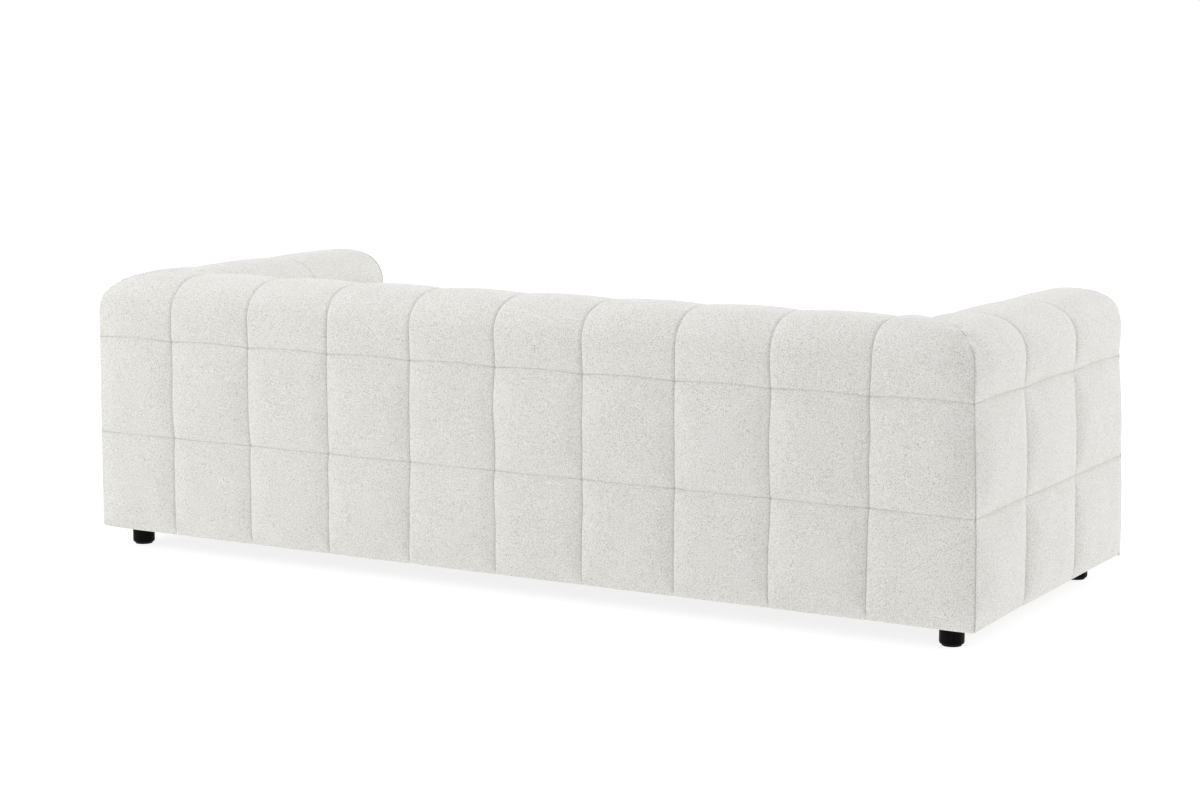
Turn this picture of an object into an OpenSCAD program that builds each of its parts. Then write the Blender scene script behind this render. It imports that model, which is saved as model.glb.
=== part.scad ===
// Tuxedo sofa with tufted covers, a wooden frame, zigzag springs and two loose seat cushions.
// Millimetres. +Z is up, +X runs along the length, the front faces -Y.
// The origin is on the floor, under the middle of the sofa.

/* [Overall] */
// Length over the corner seams
sofa_l = 2400; // [2200:10:2700]
// Depth from the front seam to the back seam
sofa_d = 936; // [880:4:1020]
// Height of the seams at the crest
sofa_h = 704; // [664:4:740]
// Height of the cover's lower edge over the floor
foot_h = 50; // [40:1:70]
// Thickness of the arms and the back
wall_t = 240; // [225:5:260]

/* [Tufting] */
// Pads along the seat, between the arms
seat_cols = 8; // [6:1:9]
// Height of the lower row of pads
lower_row_h = 250; // [230:2:260]
// Height of the upper row of pads
upper_row_h = 245; // [225:5:255]
// How far a pad stands proud of its seams
crown = 12; // [6:1:16]
// Height over which the walls roll in to their crest
shoulder_h = 95; // [80:1:110]
// How square the rolled crest is, where 2 is a plain ellipse
crest_power = 2.4; // [2:0.1:3]

/* [Seat] */
// Height of the loose cushions at their seams
cushion_h = 142; // [120:2:170]
// Pads across one cushion
cushion_cols = 4; // [3:1:5]
// Pads from front to back of a cushion
cushion_rows = 3; // [2:1:4]
// Room between the loose cushions and their neighbours
cushion_gap = 2; // [1:0.5:5]

/* [Covers and padding] */
// Thickness of the quilted cover at its seams
cover_t = 3; // [2:0.5:5]
// Padding over the outer faces of the frame
outer_pad = 25; // [20:1:30]
// Padding over the inner faces of the frame
inner_pad = 44; // [36:1:50]
// Padding over the top boards
top_pad = 40; // [36:1:48]
// Padding under the deck cloth
deck_pad_t = 16; // [10:1:20]
// Thickness of the deck and dust cloths
cloth_t = 1; // [0.8:0.1:1.5]
// How far the arm front panels stand proud
front_crown = 9; // [5:1:12]

/* [Wooden frame] */
// Height of the base rails
rail_h = 122; // [100:2:140]
// Thickness of the base rails
rail_t = 30; // [24:1:36]
// Thickness of the ribs and spring rails
rib_t = 18; // [15:1:22]
// Thickness of the hardboard panels
panel_t = 4; // [3:0.5:6]
// Thickness of the top boards
top_board_t = 12; // [9:1:16]
// Ribs across the back
back_rib_count = 9; // [7:1:13]
// Ribs along each arm
arm_rib_count = 4; // [3:1:6]
// Diameter of the holes that lighten the ribs
rib_hole_d = 90; // [60:5:110]

/* [Springs and webbing] */
// Zigzag springs across the seat
spring_count = 8; // [6:1:12]
// Diameter of the spring wire
spring_wire_d = 3.8; // [3:0.1:4.5]
// Width of a spring over its straight bars
spring_bar_w = 30; // [20:1:40]
// Bars along one spring
spring_bars = 15; // [11:2:19]
// Diameter of the tie wires
tie_wire_d = 2; // [1.5:0.1:3]
// Straps across the back
strap_count = 5; // [4:1:6]
// Width of a strap
strap_w = 50; // [40:5:60]
// Thickness of a strap
strap_t = 2; // [1.5:0.1:3]

/* [Feet and fasteners] */
// Diameter of a foot
foot_d = 56; // [48:1:70]
// Distance from a foot's axis to the end of the sofa
foot_inset_x = 70; // [64:1:90]
// Distance from a foot's axis to the front or back
foot_inset_y = 72; // [66:1:92]
// Thickness of the glide under a foot
glide_t = 3; // [2:0.5:5]
// Side of a foot plate
plate_w = 70; // [62:1:76]
// Thickness of a foot plate
plate_t = 3; // [2.5:0.5:4]
// Diameter of the bolts
bolt_d = 8; // [6:1:10]

/* [Zips] */
// Distance from a zip's ends to the sides of its cushion
zip_end = 86; // [40:1:120]
// Height of the zip's tape
zip_tape_h = 24; // [20:1:30]

/* [Hidden] */

// Clearances: between soft pieces, round a bolt, and the overrun of a cut
soft_gap = 0.3;
bolt_gap = 0.3;
thread_gap = 0.1;
cut_over = 2;
round_fn = 48;

// Colours
cloth_tone = "#dcdad4";
foam_tone = "#ead9a0";
wood_tone = "#c9a26b";
board_tone = "#8a6a45";
steel_tone = "#9a9da1";
black_tone = "#1a1a19";
web_tone = "#3c3c40";

// Heights of the seams, the deck and the frame
low_seam_z = foot_h + lower_row_h;
high_seam_z = low_seam_z + upper_row_h;
deck_z = low_seam_z;
shoulder_z = max(sofa_h - shoulder_h, high_seam_z + crown);
crest_h = sofa_h - shoulder_z;
crest_w = wall_t / 2;
frame_z = foot_h + cloth_t + plate_t;
rail_top_z = frame_z + rail_h;
board_top_z = sofa_h - top_pad;
board_z = board_top_z - top_board_t;

// Depths of the layers, measured inwards from a wall's outer seams
lining_d = cover_t + soft_gap;
frame_d = outer_pad + cover_t + panel_t;
rib_d = wall_t - cover_t - inner_pad - strap_t;

// Places of the frame in plan
end_x = sofa_l / 2;
back_y = sofa_d / 2;
frame_x = end_x - frame_d;
frame_y = back_y - frame_d;
arm_in_x = end_x - rib_d;
back_in_y = back_y - rib_d;
seat_x = end_x - wall_t;
seat_back_y = back_y - wall_t;
front_y = -back_y;

// Seat deck layers
clip_t = 1.2;
wire_gap = 0.2;
spring_wire_r = spring_wire_d / 2;
tie_wire_r = tie_wire_d / 2;
clip_h = 2 * clip_t + spring_wire_d + 2 * wire_gap;
deck_stack = max(clip_h, clip_t + wire_gap + spring_wire_d + tie_wire_d) + soft_gap;
spring_rail_z = deck_z - cloth_t - deck_pad_t - deck_stack;
spring_z = spring_rail_z + clip_t + wire_gap + spring_wire_r;

// Shares along a pad, and how proud the pad stands there
pad_shares = [0, 0.12, 0.5, 0.88];
pad_rise_shares = [0, 0.72, 1, 0.72];
row_seam_share = 0.35;
row_rise_shares = [row_seam_share, 0.8, 1, 0.8];
hem_rise_shares = [0.2, 0.72, 1, 0.8];
side_shares = [0, 0.312, 0.656, 1];

// Rolled crest of a wall, in depth and height, from its outer side over to its inner side
crest_steps = 10;
crest_rise_share = 1;
function unit(v) = v / norm(v);
function roll(v) = sign(v) * pow(abs(v), 2 / crest_power);
function crest_angle(k) = 180 * k / crest_steps;
function crest_point(a, inset) =
  [crest_w - (crest_w - inset) * roll(cos(a)), shoulder_z + (crest_h - inset) * roll(sin(a))];
function crest_normal(a) = unit([
  -sign(cos(a)) * pow(abs(roll(cos(a))), crest_power - 1) / crest_w,
  pow(roll(sin(a)), crest_power - 1) / crest_h
]);

// Cross-section of a wall: [depth, height, normal depth, normal height, rise share]
riser_shares = [0, 0.35, 1];
riser_rise_shares = [row_seam_share, 0.85, 1];
function row_points(d, z0, z1, dir, shares, rises) =
  [for (k = [0:len(shares) - 1]) [d, z0 + (z1 - z0) * shares[k], dir, 0, rises[k]]];
function reversed(list) = [for (k = [len(list) - 1:-1:0]) list[k]];
outer_riser = row_points(0, high_seam_z, shoulder_z, -1, riser_shares, riser_rise_shares);
inner_riser = row_points(wall_t, high_seam_z, shoulder_z, 1, riser_shares, riser_rise_shares);
inner_row = row_points(wall_t, deck_z, high_seam_z, 1, pad_shares, pad_rise_shares);
wall_profile = concat(
  row_points(0, foot_h, low_seam_z, -1, pad_shares, hem_rise_shares),
  row_points(0, low_seam_z, high_seam_z, -1, pad_shares, row_rise_shares),
  outer_riser,
  [for (k = [1:crest_steps - 1])
    let (a = crest_angle(k), p = crest_point(a, 0), n = crest_normal(a))
    [p[0], p[1], n[0], n[1], crest_rise_share]],
  reversed(inner_riser),
  reversed(inner_row)
);

// Place of the k-th seam at a depth, with mitred ends where they are asked for
mitre_short = 20;
function seam_u(seams, k, d, mitre_low, mitre_high) =
  k == 0 ? seams[0] + mitre_low * min(d, wall_t - mitre_short)
  : k == len(seams) - 1 ? seams[k] - mitre_high * min(d, wall_t - mitre_short)
  : seams[k];

// Solid block with a tufted skin: u runs along the wall, v across it, z up
module tufted_wall(seams, mitre_low, mitre_high) {
  pads = len(seams) - 1;
  steps = len(pad_shares);
  cols = pads * steps + 1;
  rows = len(wall_profile);
  skin = [for (i = [0:cols - 1]) for (j = [0:rows - 1])
    let (
      k = min(floor(i / steps), pads - 1),
      s = i == cols - 1 ? 1 : pad_shares[i % steps],
      rise = i == cols - 1 ? 0 : pad_rise_shares[i % steps],
      p = wall_profile[j],
      u0 = seam_u(seams, k, p[0], mitre_low, mitre_high),
      u1 = seam_u(seams, k + 1, p[0], mitre_low, mitre_high),
      puff = crown * rise * p[4]
    )
    [u0 + (u1 - u0) * s, p[0] + p[2] * puff, p[1] + p[3] * puff]];
  foot_row = [for (i = [0:cols - 1])
    let (k = min(floor(i / steps), pads - 1), s = i == cols - 1 ? 1 : pad_shares[i % steps])
    [seam_u(seams, k, wall_t, mitre_low, mitre_high) * (1 - s)
      + seam_u(seams, k + 1, wall_t, mitre_low, mitre_high) * s, wall_t, foot_h]];
  ends = [for (k = [0, pads])
    [seam_u(seams, k, wall_t / 2, mitre_low, mitre_high), wall_t / 2, (foot_h + sofa_h) / 2]];
  base = cols * rows;
  hub = base + cols;
  last = cols - 1;
  polyhedron(
    points = concat(skin, foot_row, ends),
    faces = concat(
      [for (i = [0:cols - 2]) for (j = [0:rows - 2])
        [i * rows + j, i * rows + j + 1, (i + 1) * rows + j + 1]],
      [for (i = [0:cols - 2]) for (j = [0:rows - 2])
        [i * rows + j, (i + 1) * rows + j + 1, (i + 1) * rows + j]],
      [for (i = [0:cols - 2]) [i * rows + rows - 1, base + i, base + i + 1]],
      [for (i = [0:cols - 2]) [i * rows + rows - 1, base + i + 1, (i + 1) * rows + rows - 1]],
      [for (i = [0:cols - 2]) [base + i, i * rows, (i + 1) * rows]],
      [for (i = [0:cols - 2]) [base + i, (i + 1) * rows, base + i + 1]],
      [for (j = [0:rows - 2]) [hub, j + 1, j]],
      [[hub, base, rows - 1], [hub, 0, base]],
      [for (j = [0:rows - 2]) [hub + 1, last * rows + j, last * rows + j + 1]],
      [[hub + 1, last * rows + rows - 1, base + last], [hub + 1, base + last, last * rows]]
    ),
    convexity = 10
  );
}

// Outline of a wall without its pads, drawn in by an inset, in depth and height
module wall_outline(inset, low_z) {
  polygon(concat(
    [[inset, low_z]],
    [for (k = [0:crest_steps]) crest_point(crest_angle(k), inset)],
    [[wall_t - inset, low_z]]
  ));
}

// A wall's outline run along the back, and along an arm
module along_back(l) {
  translate([-l / 2, back_y, 0]) rotate([90, 0, 90]) mirror([1, 0, 0]) linear_extrude(l) children();
}
module along_left_arm(y0, y1) {
  translate([end_x, y1, 0]) rotate([90, 0, 0]) mirror([1, 0, 0]) linear_extrude(y1 - y0) children();
}
module block(x0, x1, y0, y1, z0, z1) {
  translate([x0, y0, z0]) cube([x1 - x0, y1 - y0, z1 - z0]);
}
module right_of() {
  mirror([1, 0, 0]) children();
}

// Ground that the back owns, and ground that the left arm owns, on either side of the mitre
mitre_out = crown;
mitre_in = wall_t + 2 * crown;
module back_ground(gap) {
  linear_extrude(sofa_h + wall_t) polygon([
    [-end_x - mitre_out, back_y + 2 * mitre_out], [end_x + mitre_out, back_y + 2 * mitre_out],
    [end_x + mitre_out, back_y + mitre_out + gap], [end_x - mitre_in, back_y - mitre_in + gap],
    [mitre_in - end_x, back_y - mitre_in + gap], [-end_x - mitre_out, back_y + mitre_out + gap]
  ]);
}
module left_arm_ground(gap) {
  linear_extrude(sofa_h + wall_t) polygon([
    [end_x + mitre_out, back_y + mitre_out - gap], [end_x - mitre_in, back_y - mitre_in - gap],
    [end_x - mitre_in, front_y], [end_x + mitre_out, front_y]
  ]);
}

// Inside of a wall's cover, open below and below the deck
module cover_hollow() {
  wall_outline(cover_t, -cut_over);
  translate([wall_t / 2, -cut_over]) square([wall_t, deck_z + cut_over]);
}
// Padding between a wall's cover and its frame
module foam_outline() {
  difference() {
    wall_outline(lining_d, foot_h + cloth_t + soft_gap);
    translate([outer_pad + cover_t, -cut_over])
      square([rib_d + strap_t + soft_gap - outer_pad - cover_t, board_top_z + cut_over]);
    translate([wall_t / 2, -cut_over]) square([wall_t, deck_z + soft_gap + cut_over]);
  }
}

back_seams = concat([-end_x],
  [for (k = [0:seat_cols]) -seat_x + 2 * seat_x * k / seat_cols], [end_x]);
arm_l = sofa_d - cover_t;
arm_seams = [for (s = side_shares) s * arm_l];

// Covers
module back_cover() {
  color(cloth_tone) difference() {
    intersection() {
      translate([0, back_y, 0]) mirror([0, 1, 0]) tufted_wall(back_seams, 1, 1);
      back_ground(soft_gap / 2);
    }
    along_back(sofa_l + 2 * wall_t) cover_hollow();
  }
}
module left_arm_cover() {
  color(cloth_tone) difference() {
    intersection() {
      translate([end_x, back_y, 0]) rotate(-90) mirror([0, 1, 0])
        tufted_wall(arm_seams, 1, 0);
      left_arm_ground(soft_gap / 2);
    }
    along_left_arm(front_y - cut_over, back_y + wall_t) cover_hollow();
  }
}
module right_arm_cover() { right_of() left_arm_cover(); }

// Front ends of the arms, closed by crowned panels
front_margin = 2 * front_crown;
module left_arm_front_panel() {
  color(cloth_tone) hull() {
    along_left_arm(front_y, front_y + cover_t) wall_outline(0, foot_h);
    along_left_arm(front_y - front_crown, front_y - front_crown + cloth_t)
      wall_outline(front_margin, foot_h + front_margin);
  }
}
module right_arm_front_panel() { right_of() left_arm_front_panel(); }

// Seat front, one row of pads between the arms
function pad_places(seams) = concat(
  [for (k = [0:len(seams) - 2]) for (i = [0:len(pad_shares) - 1])
    [seams[k] + (seams[k + 1] - seams[k]) * pad_shares[i], pad_rise_shares[i]]],
  [[seams[len(seams) - 1], 0]]);
front_half = seat_x - soft_gap / 2;
front_seams = [for (k = [0:seat_cols]) front_half * (2 * k / seat_cols - 1)];
module seat_front_cover() {
  us = pad_places(front_seams);
  vs = pad_places([foot_h, deck_z]);
  nu = len(us);
  nv = len(vs);
  back = nu * nv;
  color(cloth_tone) polyhedron(
    points = concat(
      [for (u = us) for (v = vs) [u[0], front_y - crown * u[1] * v[1], v[0]]],
      [for (u = us) [u[0], front_y + cover_t, foot_h]],
      [for (u = us) [u[0], front_y + cover_t, deck_z]]
    ),
    faces = concat(
      [for (i = [0:nu - 2]) for (j = [0:nv - 2]) [i * nv + j, i * nv + j + 1, (i + 1) * nv + j + 1]],
      [for (i = [0:nu - 2]) for (j = [0:nv - 2]) [i * nv + j, (i + 1) * nv + j + 1, (i + 1) * nv + j]],
      [for (i = [0:nu - 2]) [back + i, back + i + 1, back + nu + i + 1, back + nu + i]],
      [for (i = [0:nu - 2]) [back + i, i * nv, (i + 1) * nv, back + i + 1]],
      [for (i = [0:nu - 2]) [i * nv + nv - 1, back + nu + i, back + nu + i + 1, (i + 1) * nv + nv - 1]],
      [for (j = [0:nv - 2]) [back, j + 1, j]],
      [[back, back + nu, nv - 1]],
      [for (j = [0:nv - 2]) [back + nu - 1, (nu - 1) * nv + j, (nu - 1) * nv + j + 1]],
      [[back + nu - 1, nu * nv - 1, back + 2 * nu - 1]]
    ),
    convexity = 10
  );
}

// Cloths over and under the seat
deck_x = arm_in_x - strap_t - soft_gap;
deck_y = back_in_y - strap_t - soft_gap;
flap_x = seat_x + lining_d - soft_gap;
module deck_cloth() {
  color(web_tone) {
    block(-deck_x, deck_x, -frame_y, deck_y, deck_z - cloth_t, deck_z);
    block(-flap_x, flap_x, front_y + lining_d, -frame_y, deck_z - cloth_t, deck_z);
  }
}
module dust_cover() {
  x = end_x - lining_d;
  y = back_y - lining_d;
  color(black_tone) difference() {
    block(-x, x, -y, y, foot_h, foot_h + cloth_t);
    for (p = foot_places)
      translate([p[0], p[1], foot_h - cut_over])
        cylinder(d = foot_d + 2 * soft_gap, h = cloth_t + 2 * cut_over, $fn = round_fn);
  }
}

// Padding
module back_foam() {
  color(foam_tone) intersection() {
    along_back(sofa_l + 2 * wall_t) foam_outline();
    back_ground(soft_gap / 2);
  }
}
module left_arm_foam() {
  color(foam_tone) {
    intersection() {
      along_left_arm(-frame_y, back_y) foam_outline();
      left_arm_ground(soft_gap / 2);
    }
    along_left_arm(front_y + lining_d, -frame_y) wall_outline(lining_d, foot_h + cloth_t + soft_gap);
  }
}
module right_arm_foam() { right_of() left_arm_foam(); }
module front_border_foam() {
  color(foam_tone) block(-flap_x, flap_x, front_y + lining_d, -frame_y,
    foot_h + cloth_t + soft_gap, deck_z - cloth_t);
}
module deck_pad() {
  color(foam_tone) block(-deck_x, deck_x, -frame_y, deck_y, deck_z - cloth_t - deck_pad_t, deck_z - cloth_t);
}

// Base frame
rear_rail_y = frame_y - rail_t;
side_rail_x = frame_x - rail_t;
module base_front_rail() {
  color(wood_tone) block(-frame_x, frame_x, -frame_y, -rear_rail_y, frame_z, rail_top_z);
}
module base_rear_rail() {
  color(wood_tone) block(-frame_x, frame_x, rear_rail_y, frame_y, frame_z, rail_top_z);
}
module base_left_rail() {
  color(wood_tone) block(side_rail_x, frame_x, -rear_rail_y, rear_rail_y, frame_z, rail_top_z);
}
module base_right_rail() { right_of() base_left_rail(); }
module base_inner_rail() {
  color(wood_tone) block(-side_rail_x, side_rail_x, back_in_y, back_in_y + rail_t, frame_z, rail_top_z);
}
module base_cross_rails() {
  color(wood_tone) {
    for (x = [arm_in_x, -arm_in_x - rail_t])
      block(x, x + rail_t, -rear_rail_y, back_in_y, frame_z, rail_top_z);
    difference() {
      block(-rail_t / 2, rail_t / 2, -rear_rail_y, back_in_y, frame_z, rail_top_z);
      bolt_hole(foot_places[4], bolt_gap);
    }
  }
}
block_h = 45;
module corner_blocks() {
  color(wood_tone) for (sx = [-1, 1]) for (sy = [-1, 1]) {
    x0 = min(sx * (arm_in_x + rail_t), sx * side_rail_x);
    y0 = min(sy * (back_in_y + rail_t), sy * rear_rail_y);
    difference() {
      translate([x0, y0, frame_z])
        cube([side_rail_x - arm_in_x - rail_t, rear_rail_y - back_in_y - rail_t, block_h]);
      bolt_hole([sx * foot_x, sy * foot_y], bolt_gap);
    }
  }
}

// Back frame
function spread(lo, hi, n) = [for (k = [0:n - 1]) lo + (hi - lo) * k / (n - 1)];
rib_h = board_z - rail_top_z;
rib_hole_shares = [0.28, 0.72];
module back_ribs() {
  color(wood_tone) for (x = spread(-frame_x + rib_t / 2, frame_x - rib_t / 2, back_rib_count))
    difference() {
      block(x - rib_t / 2, x + rib_t / 2, back_in_y, frame_y, rail_top_z, board_z);
      for (s = rib_hole_shares)
        translate([x - rib_t, (back_in_y + frame_y) / 2, rail_top_z + s * rib_h])
          rotate([0, 90, 0]) cylinder(d = rib_hole_d, h = 2 * rib_t, $fn = round_fn);
    }
}
module back_joint_boards() {
  color(wood_tone) for (sx = [-1, 1]) difference() {
    block(min(sx * arm_in_x, sx * (frame_x - rib_t)), max(sx * arm_in_x, sx * (frame_x - rib_t)),
      back_in_y, back_in_y + rib_t, rail_top_z, board_z);
    frame_bolt_holes();
  }
}
module back_top_board() {
  color(wood_tone) block(-frame_x, frame_x, back_in_y, frame_y, board_z, board_top_z);
}
module back_outer_panel() {
  color(board_tone) block(-frame_x - panel_t, frame_x + panel_t, frame_y, frame_y + panel_t,
    frame_z, board_top_z);
}
module back_webbing() {
  color(web_tone) for (z = spread(deck_z + strap_w / 2, board_z - strap_w, strap_count))
    block(-deck_x, deck_x, back_in_y - strap_t, back_in_y, z, z + strap_w);
}

// Arm frames
module left_arm_ribs() {
  ys = spread(-frame_y + rib_t / 2, back_in_y - rib_t / 2, arm_rib_count);
  color(wood_tone) for (k = [0:arm_rib_count - 1]) difference() {
    block(arm_in_x, frame_x, ys[k] - rib_t / 2, ys[k] + rib_t / 2, rail_top_z, board_z);
    if (k > 0 && k < arm_rib_count - 1)
      for (s = rib_hole_shares)
        translate([(arm_in_x + frame_x) / 2, ys[k] + rib_t, rail_top_z + s * rib_h])
          rotate([90, 0, 0]) cylinder(d = rib_hole_d, h = 2 * rib_t, $fn = round_fn);
    if (k == arm_rib_count - 1) frame_bolt_holes();
  }
}
module right_arm_ribs() { right_of() left_arm_ribs(); }
module left_arm_top_board() {
  color(wood_tone) block(arm_in_x, frame_x, -frame_y, back_in_y, board_z, board_top_z);
}
module right_arm_top_board() { right_of() left_arm_top_board(); }
module left_arm_outer_panel() {
  color(board_tone) block(frame_x, frame_x + panel_t, -frame_y, frame_y, frame_z, board_top_z);
}
module right_arm_outer_panel() { right_of() left_arm_outer_panel(); }
module left_arm_inner_panel() {
  color(board_tone) block(arm_in_x - strap_t, arm_in_x, -frame_y, back_in_y, rail_top_z, board_z);
}
module right_arm_inner_panel() { right_of() left_arm_inner_panel(); }

// Springs
spring_y0 = -frame_y + rib_t / 2;
spring_y1 = back_in_y - rib_t / 2;
spring_pitch = (spring_y1 - spring_y0) / (spring_bars - 1);
spring_xs = [for (k = [0:spring_count - 1]) seat_x * ((2 * k + 1) / spring_count - 1)];
module front_spring_rail() {
  color(wood_tone) block(-arm_in_x + strap_t, arm_in_x - strap_t, -frame_y, -frame_y + rib_t,
    rail_top_z, spring_rail_z);
}
module rear_spring_rail() {
  color(wood_tone) block(-arm_in_x + strap_t, arm_in_x - strap_t, back_in_y - rib_t, back_in_y,
    rail_top_z, spring_rail_z);
}
// Centre line of a spring: straight bars across it, joined by half turns at alternate sides
turn_steps = 4;
function bar_side(k) = k % 2 == 0 ? 1 : -1;
spring_path = [for (k = [0:spring_bars - 1]) each concat(
  [[-bar_side(k) * spring_bar_w / 2, k * spring_pitch], [bar_side(k) * spring_bar_w / 2, k * spring_pitch]],
  k == spring_bars - 1 ? [] : [for (i = [1:turn_steps - 1]) let (a = 180 * i / turn_steps)
    [bar_side(k) * (spring_bar_w + spring_pitch * sin(a)) / 2,
     (k + 1 / 2) * spring_pitch - spring_pitch * cos(a) / 2]]
)];
function path_side(path, i, r) =
  let (
    n = len(path) - 1,
    before = i == 0 ? unit(path[1] - path[0]) : unit(path[i] - path[i - 1]),
    after = i == n ? before : unit(path[i + 1] - path[i]),
    t = unit(before + after)
  )
  path[i] + [-t[1], t[0]] * r / (t * after);
module zigzag_spring() {
  n = len(spring_path) - 1;
  linear_extrude(spring_wire_d) polygon(concat(
    [for (i = [0:n]) path_side(spring_path, i, spring_wire_r)],
    [for (i = [n:-1:0]) path_side(spring_path, i, -spring_wire_r)]
  ));
}
module zigzag_springs() {
  color(steel_tone) for (x = spring_xs) translate([x, spring_y0, spring_z - spring_wire_r]) zigzag_spring();
}
clip_w = 18;
clip_l = 11;
module spring_clips() {
  r = spring_wire_r + wire_gap;
  color(steel_tone) for (x = spring_xs) for (y = [spring_y0, spring_y1]) difference() {
    block(x - clip_w / 2, x + clip_w / 2, y - clip_l / 2, y + clip_l / 2,
      spring_rail_z, spring_rail_z + clip_h);
    block(x - clip_w, x + clip_w, y - r, y + r, spring_z - r, spring_z + r);
  }
}
tie_shares = [0.31, 0.69];
module spring_tie_wires() {
  color(steel_tone) for (s = tie_shares)
    translate([-deck_x, spring_y0 + s * (spring_y1 - spring_y0),
      spring_z + spring_wire_r + tie_wire_r + wire_gap])
      rotate([0, 90, 0]) cylinder(r = tie_wire_r, h = 2 * deck_x, $fn = round_fn);
}

// Bolts between the arms and the back
frame_bolt_x = (arm_in_x + frame_x) / 2;
frame_bolt_shares = [0.25, 0.75];
washer_t = 1.6;
washer_d = 2 * bolt_d;
head_w_share = 1.75;
head_h_share = 0.7;
head_d = head_w_share * bolt_d;
head_h = head_h_share * bolt_d;
frame_bolt_y0 = back_in_y - rib_t - washer_t;
frame_bolt_y1 = back_in_y + rib_t + washer_t;
frame_bolt_points = [for (sx = [-1, 1]) for (s = frame_bolt_shares)
  [sx * frame_bolt_x, rail_top_z + s * rib_h]];
module frame_rod(p, y0, y1, d, fn) {
  translate([p[0], y0, p[1]]) rotate([-90, 0, 0]) cylinder(d = d, h = y1 - y0, $fn = fn);
}
module frame_bolt_holes() {
  for (p = frame_bolt_points)
    frame_rod(p, frame_bolt_y0 - cut_over, frame_bolt_y1 + cut_over, bolt_d + 2 * bolt_gap, round_fn);
}
module frame_bolts() {
  color(steel_tone) for (p = frame_bolt_points) {
    frame_rod(p, frame_bolt_y0, frame_bolt_y1 + 2 * head_h, bolt_d, round_fn);
    frame_rod(p, frame_bolt_y0 - head_h, frame_bolt_y0, head_d, 6);
  }
}
module frame_washers() {
  color(steel_tone) for (p = frame_bolt_points)
    for (y = [frame_bolt_y0, frame_bolt_y1 - washer_t]) difference() {
      frame_rod(p, y, y + washer_t, washer_d, round_fn);
      frame_rod(p, y - washer_t, y + 2 * washer_t, bolt_d + 2 * bolt_gap, round_fn);
    }
}
module frame_nuts() {
  color(steel_tone) for (p = frame_bolt_points) difference() {
    frame_rod(p, frame_bolt_y1, frame_bolt_y1 + head_h, head_d, 6);
    frame_rod(p, frame_bolt_y1 - head_h, frame_bolt_y1 + 2 * head_h, bolt_d + 2 * thread_gap, round_fn);
  }
}

// Feet
foot_x = end_x - foot_inset_x;
foot_y = back_y - foot_inset_y;
foot_places = [[foot_x, -foot_y], [-foot_x, -foot_y], [foot_x, foot_y], [-foot_x, foot_y], [0, 0]];
foot_top_z = foot_h + cloth_t;
foot_edge_share = 0.11;
foot_edge_r = foot_edge_share * foot_d;
bolt_low_share = 0.4;
bolt_low_z = bolt_low_share * foot_h;
bolt_high_z = frame_z + block_h;
module bolt_hole(p, gap) {
  translate([p[0], p[1], bolt_low_z]) cylinder(d = bolt_d + 2 * gap, h = bolt_high_z, $fn = round_fn);
}
module foot(p) {
  r = foot_d / 2;
  color(black_tone) difference() {
    translate([p[0], p[1], 0]) rotate_extrude($fn = round_fn) {
      translate([0, glide_t]) square([r - foot_edge_r, foot_top_z - glide_t]);
      translate([0, glide_t + foot_edge_r]) square([r, foot_top_z - glide_t - foot_edge_r]);
      intersection() {
        translate([r - foot_edge_r, glide_t + foot_edge_r]) circle(r = foot_edge_r, $fn = round_fn);
        square([r, foot_top_z]);
      }
    }
    bolt_hole(p, thread_gap);
  }
}
module left_front_foot() { foot(foot_places[0]); }
module right_front_foot() { foot(foot_places[1]); }
module left_rear_foot() { foot(foot_places[2]); }
module right_rear_foot() { foot(foot_places[3]); }
module centre_foot() { foot(foot_places[4]); }
module foot_glides() {
  color(web_tone) for (p = foot_places) translate([p[0], p[1], 0])
    cylinder(r = foot_d / 2 - foot_edge_r, h = glide_t, $fn = round_fn);
}
module foot_plates() {
  color(steel_tone) for (p = foot_places) difference() {
    block(p[0] - plate_w / 2, p[0] + plate_w / 2, p[1] - plate_w / 2, p[1] + plate_w / 2, foot_top_z, frame_z);
    bolt_hole(p, thread_gap);
  }
}
module foot_bolts() {
  color(steel_tone) for (p = foot_places)
    translate([p[0], p[1], bolt_low_z]) cylinder(d = bolt_d, h = bolt_high_z - bolt_low_z, $fn = round_fn);
}

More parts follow.
